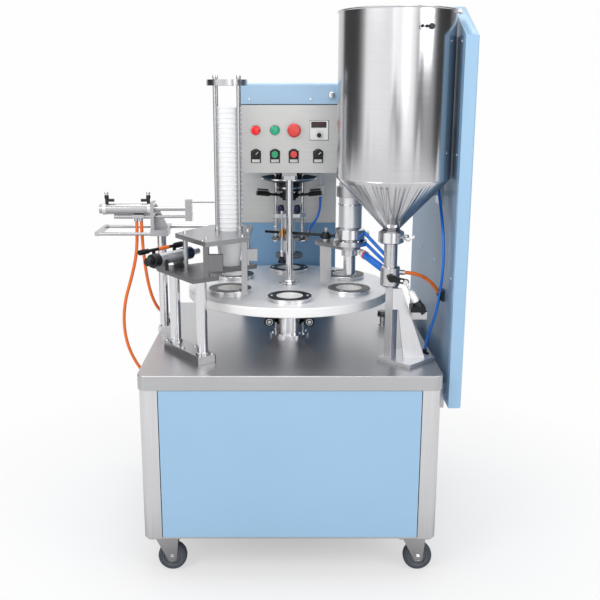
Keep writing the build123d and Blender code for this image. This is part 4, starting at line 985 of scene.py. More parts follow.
@dataclass
class Kit:
    """The trees that every sub-assembly takes its small parts from."""

    screws: FormTree = field(default_factory=build_screw_tree)
    ribs: FormTree = field(default_factory=build_rib_tree)
    coils: FormTree = field(default_factory=build_coil_tree)
    cups: FormTree = field(default_factory=build_cup_tree)

    def cap_screws(self, name: str, spots: Spots, radius: float = 4.0, finish: Finish = BRIGHT,
                   body: str = "frame", low: bool = False) -> bpy.types.Object:
        """Sets socket screws.

        Args:
            name: The piece's name.
            spots: Pairs of seat and direction.
            radius: The head's radius in millimetres.
            finish: Its finish.
            body: The body that carries them.
            low: Whether the heads are low domes.

        Returns:
            The piece.
        """
        height = radius * (0.55 if low else 0.9)
        top = radius * (0.62 if low else 0.93)
        return self.screws.grow(name, spots_mesh(name, spots), finish, body, Sides=18,
                                Head_Radius=radius * MM, Top_Radius=top * MM,
                                Head_Height=height * MM, Socket_Radius=radius * 0.45 * MM,
                                Socket_Depth=height * 0.55 * MM)

    def hex_heads(self, name: str, spots: Spots, radius: float, height: float,
                  finish: Finish = BRIGHT, body: str = "frame") -> bpy.types.Object:
        """Sets hexagon heads or nuts, with a slight dish on top. Sizes are in millimetres."""
        return self.screws.grow(name, spots_mesh(name, spots), finish, body, Sides=6,
                                Head_Radius=radius * MM, Top_Radius=radius * 0.95 * MM,
                                Head_Height=height * MM, Socket_Radius=radius * 0.6 * MM,
                                Socket_Depth=0.4 * MM)

    def grip(self, name: str, spots: Spots, radius: float, length: float, count: int,
             finish: Finish, depth: float = 1.0) -> bpy.types.Object:
        """Stands ribs round an axis, as on a knurled cap. Sizes are in millimetres."""
        width = PI * radius / count
        return self.ribs.grow(name, spots_mesh(name, spots), finish, Count=count,
                              Radius=radius * MM, Length=length * MM, Width=width * MM,
                              Depth=depth * MM)


@dataclass
class Studio:
    """The camera, the floor, the backdrop and the lamps."""

    focal: float = 51.0
    spot: Point = (-0.013, -2.491, 1.298)
    pitch: float = 13.7
    shift: float = 0.025
    white: Shade = (0.995, 0.995, 0.995)
    floor_half: float = 30.0
    fade_start: float = 0.55
    fade_rate: float = 0.5
    fade_least: float = 0.6
    boxes: tuple = (("key box", (-2.2, -2.6, 2.9), 1.6, 46.0),
                    ("fill box", (2.6, -2.2, 2.0), 1.5, 26.0),
                    ("top box", (0.0, 0.2, 3.4), 1.9, 34.0),
                    ("front box", (0.3, -3.3, 1.7), 1.8, 11.0))
    aim: Point = (0.0, 0.0, 0.85)
    tent_radius: float = 5.0
    tent_rings: tuple[float, float] = (-0.5, 3.4)
    tent_light: float = 1.45
    panels: tuple = ((-180, 0.04), (-171, 0.05), (-160, 0.3), (-152, 0.9), (-104, 0.85),
                     (-97, 0.35), (-84, 0.25), (-79, 1.0), (-62, 1.0), (-55, 0.17), (-45, 0.15),
                     (-40, 0.32), (-23, 0.26), (-15, 0.04), (17, 0.03), (25, 0.14), (43, 0.22),
                     (60, 0.7), (134, 0.6), (141, 0.05), (180, 0.04))
    # The disc of painted shade that only mirrors see: its radius, its height and its greys from the
    # middle out.
    shade_disc_radius: float = 2.4
    shade_disc_height: float = 0.0015
    shade_disc_light: tuple = ((0.0, 0.08), (0.18, 0.10), (0.38, 0.8), (1.0, 0.95))
    air_light: float = 0.55
    air_shade: Shade = (0.97, 0.98, 1.0)

    def build(self) -> None:
        """Makes the camera first, then the stage and the lamps."""
        self.camera()
        self.floor()
        for name, place, size, power in self.boxes:
            self.lamp(name, place, size, power)
        self.tent()
        self.shade_disc()
        self.world()
        bpy.context.scene.view_settings.view_transform = "Standard"

    def camera(self) -> None:
        """Stands the camera at the photograph's height and tilt."""
        data = bpy.data.cameras.new("camera")
        data.lens = self.focal
        data.sensor_width = 36.0
        data.shift_x = self.shift
        data.clip_end = 60.0
        eye = linked("camera", data)
        eye.location = self.spot
        eye.rotation_euler = (math.radians(90 - self.pitch), 0, 0)
        bpy.context.scene.camera = eye

    def lamp(self, name: str, place: Point, size: float, power: float) -> None:
        """Adds one square lamp that looks at the machine."""
        data = bpy.data.lights.new(name, "AREA")
        data.size = size
        data.energy = power
        lamp = linked(name, data)
        lamp.location = place
        way = Vector(self.aim) - Vector(place)
        lamp.rotation_euler = way.to_track_quat("-Z", "Y").to_euler()

    def floor(self) -> None:
        """Lays a pale floor that fades into the backdrop."""
        mesh = bpy.data.meshes.new("floor")
        half = self.floor_half
        corners = [(-half, -half, 0), (half, -half, 0), (half, half, 0), (-half, half, 0)]
        mesh.from_pydata(corners, [], [(0, 1, 2, 3)])
        floor = linked("floor", mesh)
        recipe = Recipe("pale floor")
        recipe.set("Base Color", (0.9, 0.9, 0.9, 1.0))
        recipe.set("Roughness", 0.7)
        fade = (self.distance(recipe) - self.fade_start) * self.fade_rate + self.fade_least
        values = {"Color": linear(self.white), "Strength": 1.0}
        glow = recipe.node("ShaderNodeEmission", {}, values).out()
        values = [fade.clipped(), recipe.shader.out(), glow]
        recipe.show(recipe.node("ShaderNodeMixShader", {}, values).out())
        mesh.materials.append(recipe.material)

    def tent(self) -> None:
        """Stands a round screen of light and dark panels that only mirrors see."""
        steps = 96
        spots = [spot for z in self.tent_rings
                 for spot in around(Vector((0, 0, z)), self.tent_radius / MM, steps)]
        mesh = bpy.data.meshes.new("tent")
        mesh.from_pydata(spots, [], [(k, (k + 1) % steps, steps + (k + 1) % steps, steps + k)
                                     for k in range(steps)])
        recipe = Recipe("tent panels")
        where = recipe.node("ShaderNodeTexCoord").out("Object")
        parts = recipe.node("ShaderNodeSeparateXYZ", {}, [where])
        turn = recipe.node("ShaderNodeMath", {"operation": "ARCTAN2"},
                           [parts.out(1), parts.out(0)]).out()
        lights = [((degrees + 180) / 360, light) for degrees, light in self.panels]
        self.screen(linked("tent", mesh), recipe, turn * (0.5 / PI) + 0.5, lights,
                    self.tent_light)

    def shade_disc(self) -> None:
        """Lays a dark round disc under the machine that only mirrors see: painted shade, which
        stands for the shadowed floor under the machine in reflections.
        """
        shape = bmesh.new()
        bmesh.ops.create_circle(shape, cap_ends=True, radius=self.shade_disc_radius, segments=64,
                                matrix=Matrix.Translation((0, 0, self.shade_disc_height)))
        recipe = Recipe("painted shade disc")
        share = self.distance(recipe) * (1 / self.shade_disc_radius)
        self.screen(as_object("shade_disc", shape), recipe, share, self.shade_disc_light, 1.0)

    def distance(self, recipe: Recipe) -> Term:
        """Gives the distance from the middle of the floor."""
        where = recipe.node("ShaderNodeTexCoord").out("Object")
        return recipe.node("ShaderNodeVectorMath", {"operation": "LENGTH"}, [where]).out(1)

    def screen(self, piece: bpy.types.Object, recipe: Recipe, share: Term, lights: Profile,
               strength: float) -> None:
        """Lights a screen in greys, hides it from all but mirrors and keeps it off the object.

        Args:
            piece: The screen.
            recipe: Its material.
            share: The place along the lights, from 0 to 1.
            lights: Pairs of place and light.
            strength: What every light is multiplied by.
        """
        stops = [(place, (light, light, light, 1.0)) for place, light in lights]
        grey = recipe.node("ShaderNodeValToRGB", {"stops": stops}, [share]).out()
        values = {"Color": grey, "Strength": strength}
        recipe.show(recipe.node("ShaderNodeEmission", {}, values).out())
        piece.data.materials.append(recipe.material)
        piece.visible_camera = False
        piece.visible_diffuse = False
        piece.visible_shadow = False

    def world(self) -> None:
        """Lights everything evenly, and shows a white backdrop to the camera and to mirrors."""
        world = bpy.data.worlds.new("studio")
        bpy.context.scene.world = world
        world.use_nodes = True
        tree = NodeTree(world.node_tree)
        values = [(*self.air_shade, 1.0), self.air_light]
        air = tree.node("ShaderNodeBackground", {}, values).out()
        backdrop = tree.node("ShaderNodeBackground", {}, [linear(self.white)]).out()
        rays = tree.node("ShaderNodeLightPath")
        seen = tree.node("ShaderNodeMath", {"operation": "MAXIMUM"},
                         [rays.out("Is Camera Ray"), rays.out("Is Glossy Ray")]).out()
        both = tree.node("ShaderNodeMixShader", {}, [seen, air, backdrop]).out()
        tree.node("ShaderNodeOutputWorld", {}, [both])


@dataclass
class Hoses:
    """The five air hoses, each on the route that its solid follows."""

    orange: float = 0.010
    blue: float = 0.008

    def build(self, kit: Kit) -> None:
        """Lays the hoses one by one."""
        self.lay("orange_hose_outer", self.orange, ORANGE_TUBE, [
            (-456, 32, 341), (-456, 32, 290), (-464, 36, 225), (-482, 39, 160), (-503, 40, 95),
            (-511, 40, 25), (-503, 40, -45), (-478, 40, -105), (-445, 40, -150),
            (-411, 40, -172)])
        self.lay("orange_hose_inner", self.orange, ORANGE_TUBE, [
            (-442, 32, 341), (-442, 32, 290), (-439, 36, 230), (-434, 42, 170), (-426, 54, 115),
            (-414, 74, 70), (-398, 96, 42), (-385, 112, 15)])
        self.lay("orange_hose_right", self.orange, ORANGE_TUBE, [
            (310, -236, 240), (334, -233, 238), (358, -227, 229), (380, -220, 215),
            (397, -214, 198), (409, -211, 178)])
        self.lay("blue_hose_side", self.blue, BLUE_TUBE, [
            (410, -110, 590), (409, -111, 545), (408, -128, 495), (407, -175, 440),
            (408, -225, 385), (409, -258, 330), (410, -262, 270), (410, -248, 218),
            (410, -230, 179), (406, -222, 140), (398, -214, 95), (385, -206, 52),
            (380, -205, 15)])
        self.lay("blue_hose_head", self.blue, BLUE_TUBE, [
            (100, 222, 392), (100, 222, 362), (95, 218, 336), (84, 212, 314), (72, 204, 302),
            (64, 198, 286)])

    def lay(self, node: str, diameter: float, finish: Finish,
            corners: Sequence[Point]) -> None:
        """Lays one hose as a smooth curve along its route.

        Args:
            node: The solid that it stands for.
            diameter: Its outer diameter in metres.
            finish: Its finish.
            corners: The route's points in millimetres, with heights above the table top.
        """
        points = [mm(*corner) for corner in corners]
        curve = bpy.data.curves.new(node + "_tube", "CURVE")
        curve.dimensions = "3D"
        curve.bevel_depth = diameter / 2
        curve.bevel_resolution = 5
        curve.resolution_u = 10
        curve.use_fill_caps = True
        line = curve.splines.new("NURBS")
        line.points.add(len(points) - 1)
        for knot, point in zip(line.points, points):
            knot.co = (*point, 1.0)
        line.order_u = 3
        line.use_endpoint_u = True
        tube = linked(node + "_tube", curve)
        finished(tube, finish)
        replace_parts(tube, node)


@dataclass
class Cabinet:
    """The table cabinet: frame, blue panels, tray and what drives the table."""

    gland: float = 100.0
    drive_floor: float = -300.0
    indexer_side: float = -120.0

    def build(self, kit: Kit) -> None:
        """Dresses the cabinet's nodes."""
        dress("cabinet_frame", SHEET_Z)
        dress("skin_panels", told_by("length", self.gland, BLUE, BLACK))
        dress("table_tray", told_by("length", self.gland, TABLE_STEEL, BLACK), ease=0.8)
        indexer_or_motor = told_by("x", self.indexer_side, BLUE_DEEP, GREY)
        dress("cabinet_drive", told_by("z", self.drive_floor, indexer_or_motor, ALLOY))


@dataclass
class Casters:
    """Four swivel casters with bolted plates, pressed forks and tyred wheels."""

    spread: float = 342.0
    plate_low: float = 112.0
    bolt_reach: float = 34.0
    trail: float = 15.0
    wheel_radius: float = 40.0
    fork_half: float = 20.5
    race: Profile = ((31.3, 0.5), (33.5, 1.5), (33.5, 6.0), (32, 6.8), (31.3, 6.8))
    tread: Profile = ((28.2, -13.5), (31, -15), (35, -15), (38.4, -12), (39.7, -7), (40, 0),
                      (39.7, 7), (38.4, 12), (35, 15), (31, 15), (28.2, 13.5))
    hub: Profile = ((8, -14), (11.5, -14.6), (13, -13), (14.5, -8.5), (22.5, -8), (25.5, -12.8),
                    (28, -13.2), (28, 13.2), (25.5, 12.8), (22.5, 8), (14.5, 8.5), (13, 13),
                    (11.5, 14.6), (8, 14))
    bush: Profile = ((5.1, -15.8), (8, -15.8), (8, 15.8), (5.1, 15.8))

    def build(self, kit: Kit) -> None:
        """Dresses the casters and adds their bolts, races and hubs."""
        dress("caster_plates", SHEET_X)
        for row, back in (("front", -1), ("back", 1)):
            for side, right in (("left", -1), ("right", 1)):
                swivel = Vector((right * self.spread, back * self.spread, 0)) * MM
                self.caster(kit, f"{row}_{side}", swivel)

    def caster(self, kit: Kit, corner: str, swivel: Vector) -> None:
        """Builds one caster around its solids.

        Args:
            kit: The trees for small parts.
            corner: The caster's corner, as in its nodes' names.
            swivel: The point on the floor under its swivel.
        """
        fork = "caster_fork_" + corner
        wheel = "caster_wheel_" + corner
        plate = swivel + Vector((0, 0, self.plate_low)) * MM
        axle = swivel + Vector((self.trail, 0, self.wheel_radius)) * MM
        dress(fork, BRIGHT, fork, ease=0.7)
        self.wheel(wheel, axle)
        seats = [plate + Vector((right, back, 0)) * (self.bolt_reach * MM)
                 for right in (-1, 1) for back in (-1, 1)]
        kit.hex_heads("plate_bolts_" + corner, facing(seats, DOWN), 6.5, 4.5)
        ends = [(axle + Vector(way) * (self.fork_half * MM), way) for way in (FRONT, Y_WAY)]
        kit.hex_heads("axle_nuts_" + corner, ends, 8.5, 6.0, body=fork)
        turned("swivel_race_" + corner, plate, DOWN, self.race, BRIGHT, steps=48)

    def wheel(self, wheel: str, axle: Vector) -> None:
        """Turns a crowned tyre with a dished grey hub and a bright bush.

        Args:
            wheel: The wheel's node, which the tyre stands for.
            axle: The wheel's middle.
        """
        tyre = turned(wheel + "_tyre", axle, Y_WAY, self.tread, TYRE, wheel, 64)
        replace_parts(tyre, wheel)
        turned(wheel + "_hub", axle, Y_WAY, self.hub, GREY, wheel, 48)
        turned(wheel + "_bush", axle, Y_WAY, self.bush, BRIGHT, wheel)


@dataclass
class RotaryTable:
    """The polished turntable with its six cup rings, its hub and its post."""

    pitch: float = 198.0
    disc_top: float = 155.0
    stations: int = 6
    first_station: float = 30.0
    disc_bolts: float = 28.0
    hub_bolts: float = 51.0
    hub_least: float = 80.0
    hub_flange: float = 8.0
    ring: Profile = ((36, -27), (45.2, -27), (46, -26.2), (46, 0), (58.5, 0), (58.5, 8),
                     (61.6, 8.4), (62, 8.9), (62, 11.4), (61.4, 12), (37, 12), (36, 11.2))
    ring_face: Profile = ((37.4, 11.8), (60.4, 11.8), (60.7, 12.2), (60.4, 12.5), (37.4, 12.5))
    liner: Profile = ((35.3, -26), (36, -26), (36, 11), (36.6, 11.9), (36.4, 12.2),
                      (35.3, 11.4))
    face_screws: Point = (50.0, 12.5)
    side_screws: Point = (58.5, 4.2)
    collar: Profile = ((15.3, 0), (21, 0), (21, 5.5), (19.5, 7), (15.3, 7))
    knob: Point = (296.0, 110.0)
    knob_post: Profile = ((0, 0), (13, 0), (13, 3), (9, 4), (9, 27), (12.5, 29), (12.5, 31),
                          (0, 31))
    knob_cap: Profile = ((0, 30.5), (15.6, 30.5), (16.2, 31.2), (16.2, 42.5), (14.6, 44.5),
                         (0, 45))
    sensor: Point = (60.0, -30.0, 46.0)
    sensor_grip: float = 7.0
    sensor_rim: Profile = ((8.4, 3.9), (10.6, 3.9), (10.6, 5.6), (9.8, 6.2), (8.4, 6.2))
    sensor_eye: Profile = ((0, 3.95), (4.8, 3.95), (4.8, 7), (0, 7.8))

    def build(self, kit: Kit) -> None:
        """Dresses the table and sets its screws."""
        dress("turntable", DISC, "turntable", ease=0.9)
        dress("turntable_shaft", BRIGHT, "turntable", ease=0.8)
        dress("bearing_hub", told_by("length", self.hub_least, BRIGHT, BLACK), ease=0.6)
        self.rings(kit)
        top = mm(0, 0, self.disc_top)
        kit.cap_screws("disc_screws", facing(around(top, self.disc_bolts, 6), Z_WAY), 4.5,
                       body="turntable")
        turned("post_collar", top, Z_WAY, self.collar, BRIGHT, "turntable", 48)
        flange = around(mm(0, 0, self.hub_flange), self.hub_bolts, 8, 0.2)
        kit.cap_screws("hub_flange_screws", facing(flange, Z_WAY), 3.8)
        self.sensors(kit)
        self.side_knob(kit)

    def rings(self, kit: Kit) -> None:
        """Turns the cup rings, with their dark top flanges, white liners and screws."""
        rings = Shaper()
        faces = Shaper()
        liners = Shaper()
        face_seats = []
        side_seats = []
        for seat in around(mm(0, 0, self.disc_top), self.pitch, self.stations,
                           math.radians(self.first_station)):
            out = Vector((seat.x, seat.y, 0)).normalized()
            rings.lathe(seat, Z_WAY, self.ring, 96)
            faces.lathe(seat, Z_WAY, self.ring_face, 96)
            liners.lathe(seat, Z_WAY, self.liner, 96)
            for side in (-1, 1):
                face_seats.append((self.on_ring(seat, left_of(out) * side, self.face_screws),
                                   Z_WAY))
                side_seats.append((self.on_ring(seat, out * side, self.side_screws),
                                   out * side))
        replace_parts(rings.done("cup_rings", BRIGHT, "turntable"), "pocket_rings")
        faces.done("ring_tops", BLACK_STEEL, "turntable")
        liners.done("ring_liners", WHITE, "turntable")
        kit.cap_screws("ring_screws", face_seats, 4.0, body="turntable", low=True)
        kit.cap_screws("ring_side_screws", side_seats, 3.2, body="turntable", low=True)

    def on_ring(self, seat: Vector, way: Vector, place: Point) -> Vector:
        """Gives a point on a ring from its radius and height in millimetres."""
        radius, height = place
        return seat + way * (radius * MM) + Vector((0, 0, height * MM))

    def side_knob(self, kit: Kit) -> None:
        """Sets the small grip knob that stands on the table beside the disc."""
        place = mm(*self.knob, 0)
        turned("side_knob_post", place, Z_WAY, self.knob_post, BRIGHT)
        turned("side_knob_cap", place, Z_WAY, self.knob_cap, DARK_PLATE, steps=40)
        kit.grip("side_knob_ribs", [(mm(*self.knob, 31.4), Z_WAY)], 16.2, 10.8, 28, BLACK, 0.8)

    def sensors(self, kit: Kit) -> None:
        """Adds the bright rims, eyes and grip ribs of the two hub sensors."""
        out, face, height = self.sensor
        for side, name in ((-1, "left"), (1, "right")):
            start = mm(side * out, face, height)
            turned(f"sensor_rim_{name}", start, FRONT, self.sensor_rim, BRIGHT)
            turned(f"sensor_eye_{name}", start, FRONT, self.sensor_eye, ALLOY)
            kit.grip(f"sensor_ribs_{name}", [(start + Vector(Y_WAY) * (self.sensor_grip * MM),
                                              Y_WAY)], 15.0, 11.0, 30, BLACK, 0.9)


@dataclass
class RearColumn:
    """The pedestal, the head box with its control panel, and the cap."""

    front: float = 82.0
    button_row: float = 535.0
    lamp_row: float = 605.0
    lamps: tuple = (("red_lamp", -100.0, RED_LENS), ("green_lamp", -43.0, GREEN_LENS))
    stop_x: float = 14.0
    plates_x: tuple[float, ...] = (-100.0, -43.0, 13.0, 86.0)
    selectors: tuple = (("left", -100.0), ("right", 86.0))
    back_cover: float = 350.0
    meter_low: float = 570.0
    panel_screws: tuple = ((-146, 146), (488, 669))
    cap_seats: tuple = ((-118, 695), (62, 695))
    knob_seat: Point = (124.0, 706.0)
    grip_face: float = 56.5
    meter_face: float = 76.0
    meter_dial: Point = (88.0, 591.0)
    lens: Profile = ((10.6, 7.6), (13.8, 7.6), (13.8, 12), (12, 14.8), (7.4, 16.6), (0, 17.2),
                     (0, 15.3), (8, 15.2))
    stop_ring: Profile = ((14.6, 0.2), (17.5, 0.2), (17.5, 3), (16, 4.4), (14.6, 4.4))
    knob: Profile = ((0, -1), (6, -1), (6, 3), (9.2, 4), (9.6, 6), (9.2, 11), (8, 12.4),
                     (0, 12.8))

    def build(self, kit: Kit) -> None:
        """Dresses the column and fits out its panel."""
        dress("rear_housing", BLUE_DEEP, ease=0.8)
        dress("top_cap", CAP_BLUE, ease=0.8)
        dress("control_panel", told_by("y", self.back_cover, BLUE_DEEP, PANEL_STEEL), ease=0.4)
        dress("panel_fittings", BLACK, ease=0.5)
        dress("legend_plates", told_by("z", self.meter_low, WHITE, BLACK), ease=0.3)
        dress("e_stop_button", RED, "e_stop_button", ease=1.0)
        dress("start_button", GREEN, "start_button", ease=0.5)
        dress("stop_button", RED, "stop_button", ease=0.5)
        for side, _ in self.selectors:
            dress("selector_" + side, BLACK, "selector_" + side, ease=0.6)
        dress("speed_knob", BLACK, "speed_knob", ease=0.4)
        columns, rows = self.panel_screws
        corners = [mm(x, self.front, z) for x in columns for z in rows]
        kit.cap_screws("panel_screws", facing(corners, FRONT), 3.6, low=True)
        self.lenses()
        self.legend_strips()
        self.meter(kit)
        self.pointers()
        self.cap_fixings(kit)

    def lenses(self) -> None:
        """Sets a ribbed lens on each lamp and a collar round the stop button."""
        for name, x, finish in self.lamps:
            turned(name, mm(x, self.front, self.lamp_row), FRONT, self.lens, finish, steps=40)
        turned("stop_collar", mm(self.stop_x, self.front, self.lamp_row), FRONT, self.stop_ring,
               BLACK, steps=48)

    def legend_strips(self) -> None:
        """Lays the bare white strip at the foot of each legend plate."""
        face = self.front - 1.5
        for k, x in enumerate(self.plates_x):
            block(f"legend_strip_{k}", mm(x - 11.5, face - 0.5, 510.6),
                  mm(x + 11.5, face, 519.4), 0.2, WHITE)

    def meter(self, kit: Kit) -> None:
        """Adds the meter's dark window, its unlit digits and its plain scale marks."""
        face = self.meter_face
        block("meter_window", mm(64.5, face - 0.8, 612.5), mm(109.5, face, 630), 0.3, SCREEN)
        block("meter_digits", mm(74, face - 1.1, 618), mm(100, face - 0.75, 624.5), 0.1, DIGITS)
        block("meter_gasket", mm(60.4, 79.6, 575.4), mm(116.4, 82.2, 634), 0.3, BLACK)
        x, z = self.meter_dial
        marks = []
        for k in range(9):
            turn = math.radians(-120 + 30 * k)
            marks.append(mm(x + 11.5 * math.sin(turn), face, z + 11.5 * math.cos(turn)))
        kit.cap_screws("meter_marks", facing(marks, FRONT), 0.8, BLACK, low=True)

    def cap_fixings(self, kit: Kit) -> None:
        """Adds the cap's screws, its knob and a dark strip under its front: a painted shadow of the
        gap below the cap.
        """
        seats = [mm(x, self.front, z) for x, z in self.cap_seats]
        kit.cap_screws("cap_screws", facing(seats, FRONT), 4.6, low=True)
        x, z = self.knob_seat
        turned("cap_knob", mm(x, self.front, z), FRONT, self.knob, BRIGHT, steps=36)
        # A black strip under the cap's front edge: painted shadow of the gap there.
        block("cap_shadow_gap", mm(-154.4, self.front - 0.7, 678.4),
              mm(154.4, self.front + 0.4, 680.6), 0.2, BLACK_STEEL)

    def pointers(self) -> None:
        """Lays the white line on each selector's grip."""
        along = Vector((1, 0, 1)).normalized()
        across = Vector((-1, 0, 1)).normalized() * 0.0009
        for side, x in self.selectors:
            middle = mm(x, self.grip_face, self.button_row)
            near = middle + along * 0.001
            far = middle + along * 0.0095
            points = [near - across, far - across, far + across, near + across]
            Shaper().plate(points, FRONT, 0.4).done("pointer_" + side, WHITE,
                                                    "selector_" + side)


@dataclass
class SealingStation:
    """The sealing cylinder, its guides, springs and heated head."""

    y: float = 198.0
    spread: float = 42.0
    spring_low: float = 266.0
    connector_side: float = 80.0
    bracket_back: float = 100.0
    rod_least: float = 60.0
    heater_top: float = 212.0
    flange: Point = (52.0, 471.0)
    crosshead: Point = (24.0, 330.0)
    crosshead_top: float = 342.0
    guide_low: float = 258.0
    plug_out: float = 26.0
    plug_front: float = -17.0
    jacket_bolts: Point = (29.0, 413.0)
    bar_reach: float = 88.0
    bar_rise: float = 0.12
    bar_height: float = 404.5
    dish_edge: Profile = ((87.2, 451.4), (88.6, 451.6), (88.6, 455.8), (87.2, 456.4))
    jacket: Profile = ((22.2, 413), (35, 413), (36, 414), (36, 437), (35, 438), (32.3, 438),
                       (32.3, 433.5), (22.2, 429.5))
    band: Profile = ((35.5, 421), (36.8, 421.5), (36.8, 426), (35.5, 426.5))
    plug: Profile = ((0, -0.5), (6, -0.5), (6, 3), (9.5, 5), (10.5, 9), (10.5, 20), (8, 26),
                     (4, 28), (0, 28.4))
    hand_bars: tuple[float, ...] = (200.0, 340.0)

    def build(self, kit: Kit) -> None:
        """Dresses the station and adds its fittings."""
        dress("seal_cylinder", BLACK_STEEL, ease=0.7)
        bracket_or_dish = told_by("y", self.bracket_back, BLACK_STEEL, SHEET_X)
        dress("head_fittings", told_by("x", self.connector_side, WHITE, bracket_or_dish),
              ease=0.7)
        dress("guide_rods", told_by("height", self.rod_least, BRIGHT, DARK_PLATE), ease=0.4)
        dress("seal_head", told_by("z", self.heater_top, ALLOY, GREY), "seal_head", ease=0.7)
        self.springs(kit)
        out, height = self.flange
        flange = around(mm(0, self.y, height), out, 6, 0.5)
        kit.cap_screws("flange_screws", facing(flange, DOWN), 4.2)
        kit.cap_screws("crosshead_screws", facing(self.pair(*self.crosshead), DOWN), 3.4,
                       body="seal_head")
        guides = self.pair(self.spread, self.guide_low)
        kit.hex_heads("guide_nuts", facing(guides, DOWN), 8.0, 6.0)
        ram = mm(0, self.y, self.crosshead_top)
        kit.hex_heads("ram_nut", [(ram, Z_WAY)], 14.0, 9.0, body="seal_head")
        self.grips(kit)
        self.bands(kit)

    def pair(self, out: float, height: float, back: float = 0.0) -> list[Vector]:
        """Gives a point on each side of the ram, from millimetres."""
        return [mm(side * out, self.y + back, height) for side in (-1, 1)]

    def springs(self, kit: Kit) -> None:
        """Winds the two guide springs at their rest length; they stay as they are when the head
        moves.
        """
        seats = facing(self.pair(self.spread, self.spring_low + 1.2), Z_WAY)
        coils = kit.coils.grow("guide_springs", spots_mesh("guide springs", seats), BRIGHT,
                               Turns=6.0, Coil_Radius=0.0082, Wire_Radius=0.0011,
                               Height=0.0596, Resolution=26)
        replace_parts(coils, "seal_springs")
        tuple(mm(0, self.y, self.spring_low))
        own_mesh(coils)

    def bands(self, kit: Kit) -> None:
        """Adds the dish's bright edge, the cylinder's jacket and the dark blue plug valves."""
        seat = mm(0, self.y, 0)
        turned("dish_edge", seat, Z_WAY, self.dish_edge, BRIGHT, steps=96)
        turned("cylinder_jacket", seat, Z_WAY, self.jacket, BLACK, steps=64)
        turned("cylinder_band", seat, Z_WAY, self.band, BRIGHT, steps=64)
        out, height = self.jacket_bolts
        under = around(mm(0, self.y, height), out, 4, 0.6)
        kit.cap_screws("jacket_screws", facing(under, DOWN))
        plugs = Shaper()
        for spot in self.pair(self.plug_out, self.crosshead_top, self.plug_front):
            plugs.lathe(spot, Z_WAY, self.plug)
        plugs.done("plug_valves", DARK_BLUE, "seal_head")

    def grips(self, kit: Kit) -> None:
        """Adds ribs to the two hand bars."""
        spots = []
        for turn in self.hand_bars:
            out = (bearing(math.radians(turn)) + Vector((0, 0, self.bar_rise))).normalized()
            spots.append((mm(0, self.y, self.bar_height) + out * (self.bar_reach * MM), out))
        kit.grip("hand_bar_ribs", spots, 7.0, 34.0, 16, RUBBER, 0.8)


@dataclass
class FillStation:
    """The dosing barrel with its clamp, flange and nozzle."""

    x: float = 171.47
    y: float = -99.0
    bracket_least: float = 80.0
    cylinder_least: float = 140.0
    slim_lines: tuple = (((207, -104, 333), (276, -238, 269)),
                         ((207, -100, 306), (274, -238, 252)))
    slim_radius: float = 5.0
    flange: Point = (42.0, 306.0)
    bands: tuple = (("low", 406.0), ("high", 455.0))
    thick_start: Point = (200.0, -99.0, 274.0)
    thick_end: Point = (268.0, -236.0, 238.0)
    band: Profile = ((32.5, 0), (34.2, 0.6), (34.2, 4.4), (32.5, 5))
    union: Profile = ((0, 8), (9.5, 8), (9.5, 20), (11.6, 21), (11.6, 30), (10.3, 31), (0, 31))
    union_ring: Profile = ((10, 30.5), (12, 30.5), (12, 35), (10, 35))

    def build(self, kit: Kit) -> None:
        """Dresses the station and sets its bolts."""
        dress("fill_head", TURNED, ease=0.7)
        barrel_or_cylinder = told_by("height", self.cylinder_least, ALLOY, TURNED)
        dress("dosing_barrel", told_by("width", self.bracket_least, MILLED, barrel_or_cylinder),
              ease=0.7)
        dress("dosing_piston", BRIGHT, "dosing_piston", ease=0.4)
        dress("fill_nozzle", BRIGHT, "fill_nozzle", ease=0.6)
        out, height = self.flange
        flange = around(mm(self.x, self.y, height), out, 6)
        kit.cap_screws("fill_flange_screws", facing(flange, Z_WAY), 3.6)
        self.air_lines()
        for name, height in self.bands:
            turned("barrel_band_" + name, mm(self.x, self.y, height), Z_WAY, self.band, BRIGHT,
                   steps=56)

    def air_lines(self) -> None:
        """Fixes the slim rigid air lines and the thick one behind the outlet pipe."""
        slim = Shaper()
        for ends in self.slim_lines:
            start, end = (mm(*corner) for corner in ends)
            reach = (end - start).length / MM
            slim.lathe(start, end - start, [(0, 0), (self.slim_radius, 0),
                                            (self.slim_radius, reach), (0, reach)], 20)
        slim.done("slim_air_lines", BLUE_TUBE)
        start = mm(*self.thick_start)
        way = mm(*self.thick_end) - start
        reach = way.length / MM
        thick = [(0, 28), (10, 28), (10.4, 29), (10.4, reach), (0, reach)]
        turned("thick_air_line", start, way, thick, BLUE_TUBE, steps=28)
        turned("line_union", start, way, self.union, WHITE, steps=28)
        turned("union_ring", start, way, self.union_ring, RED, steps=28)


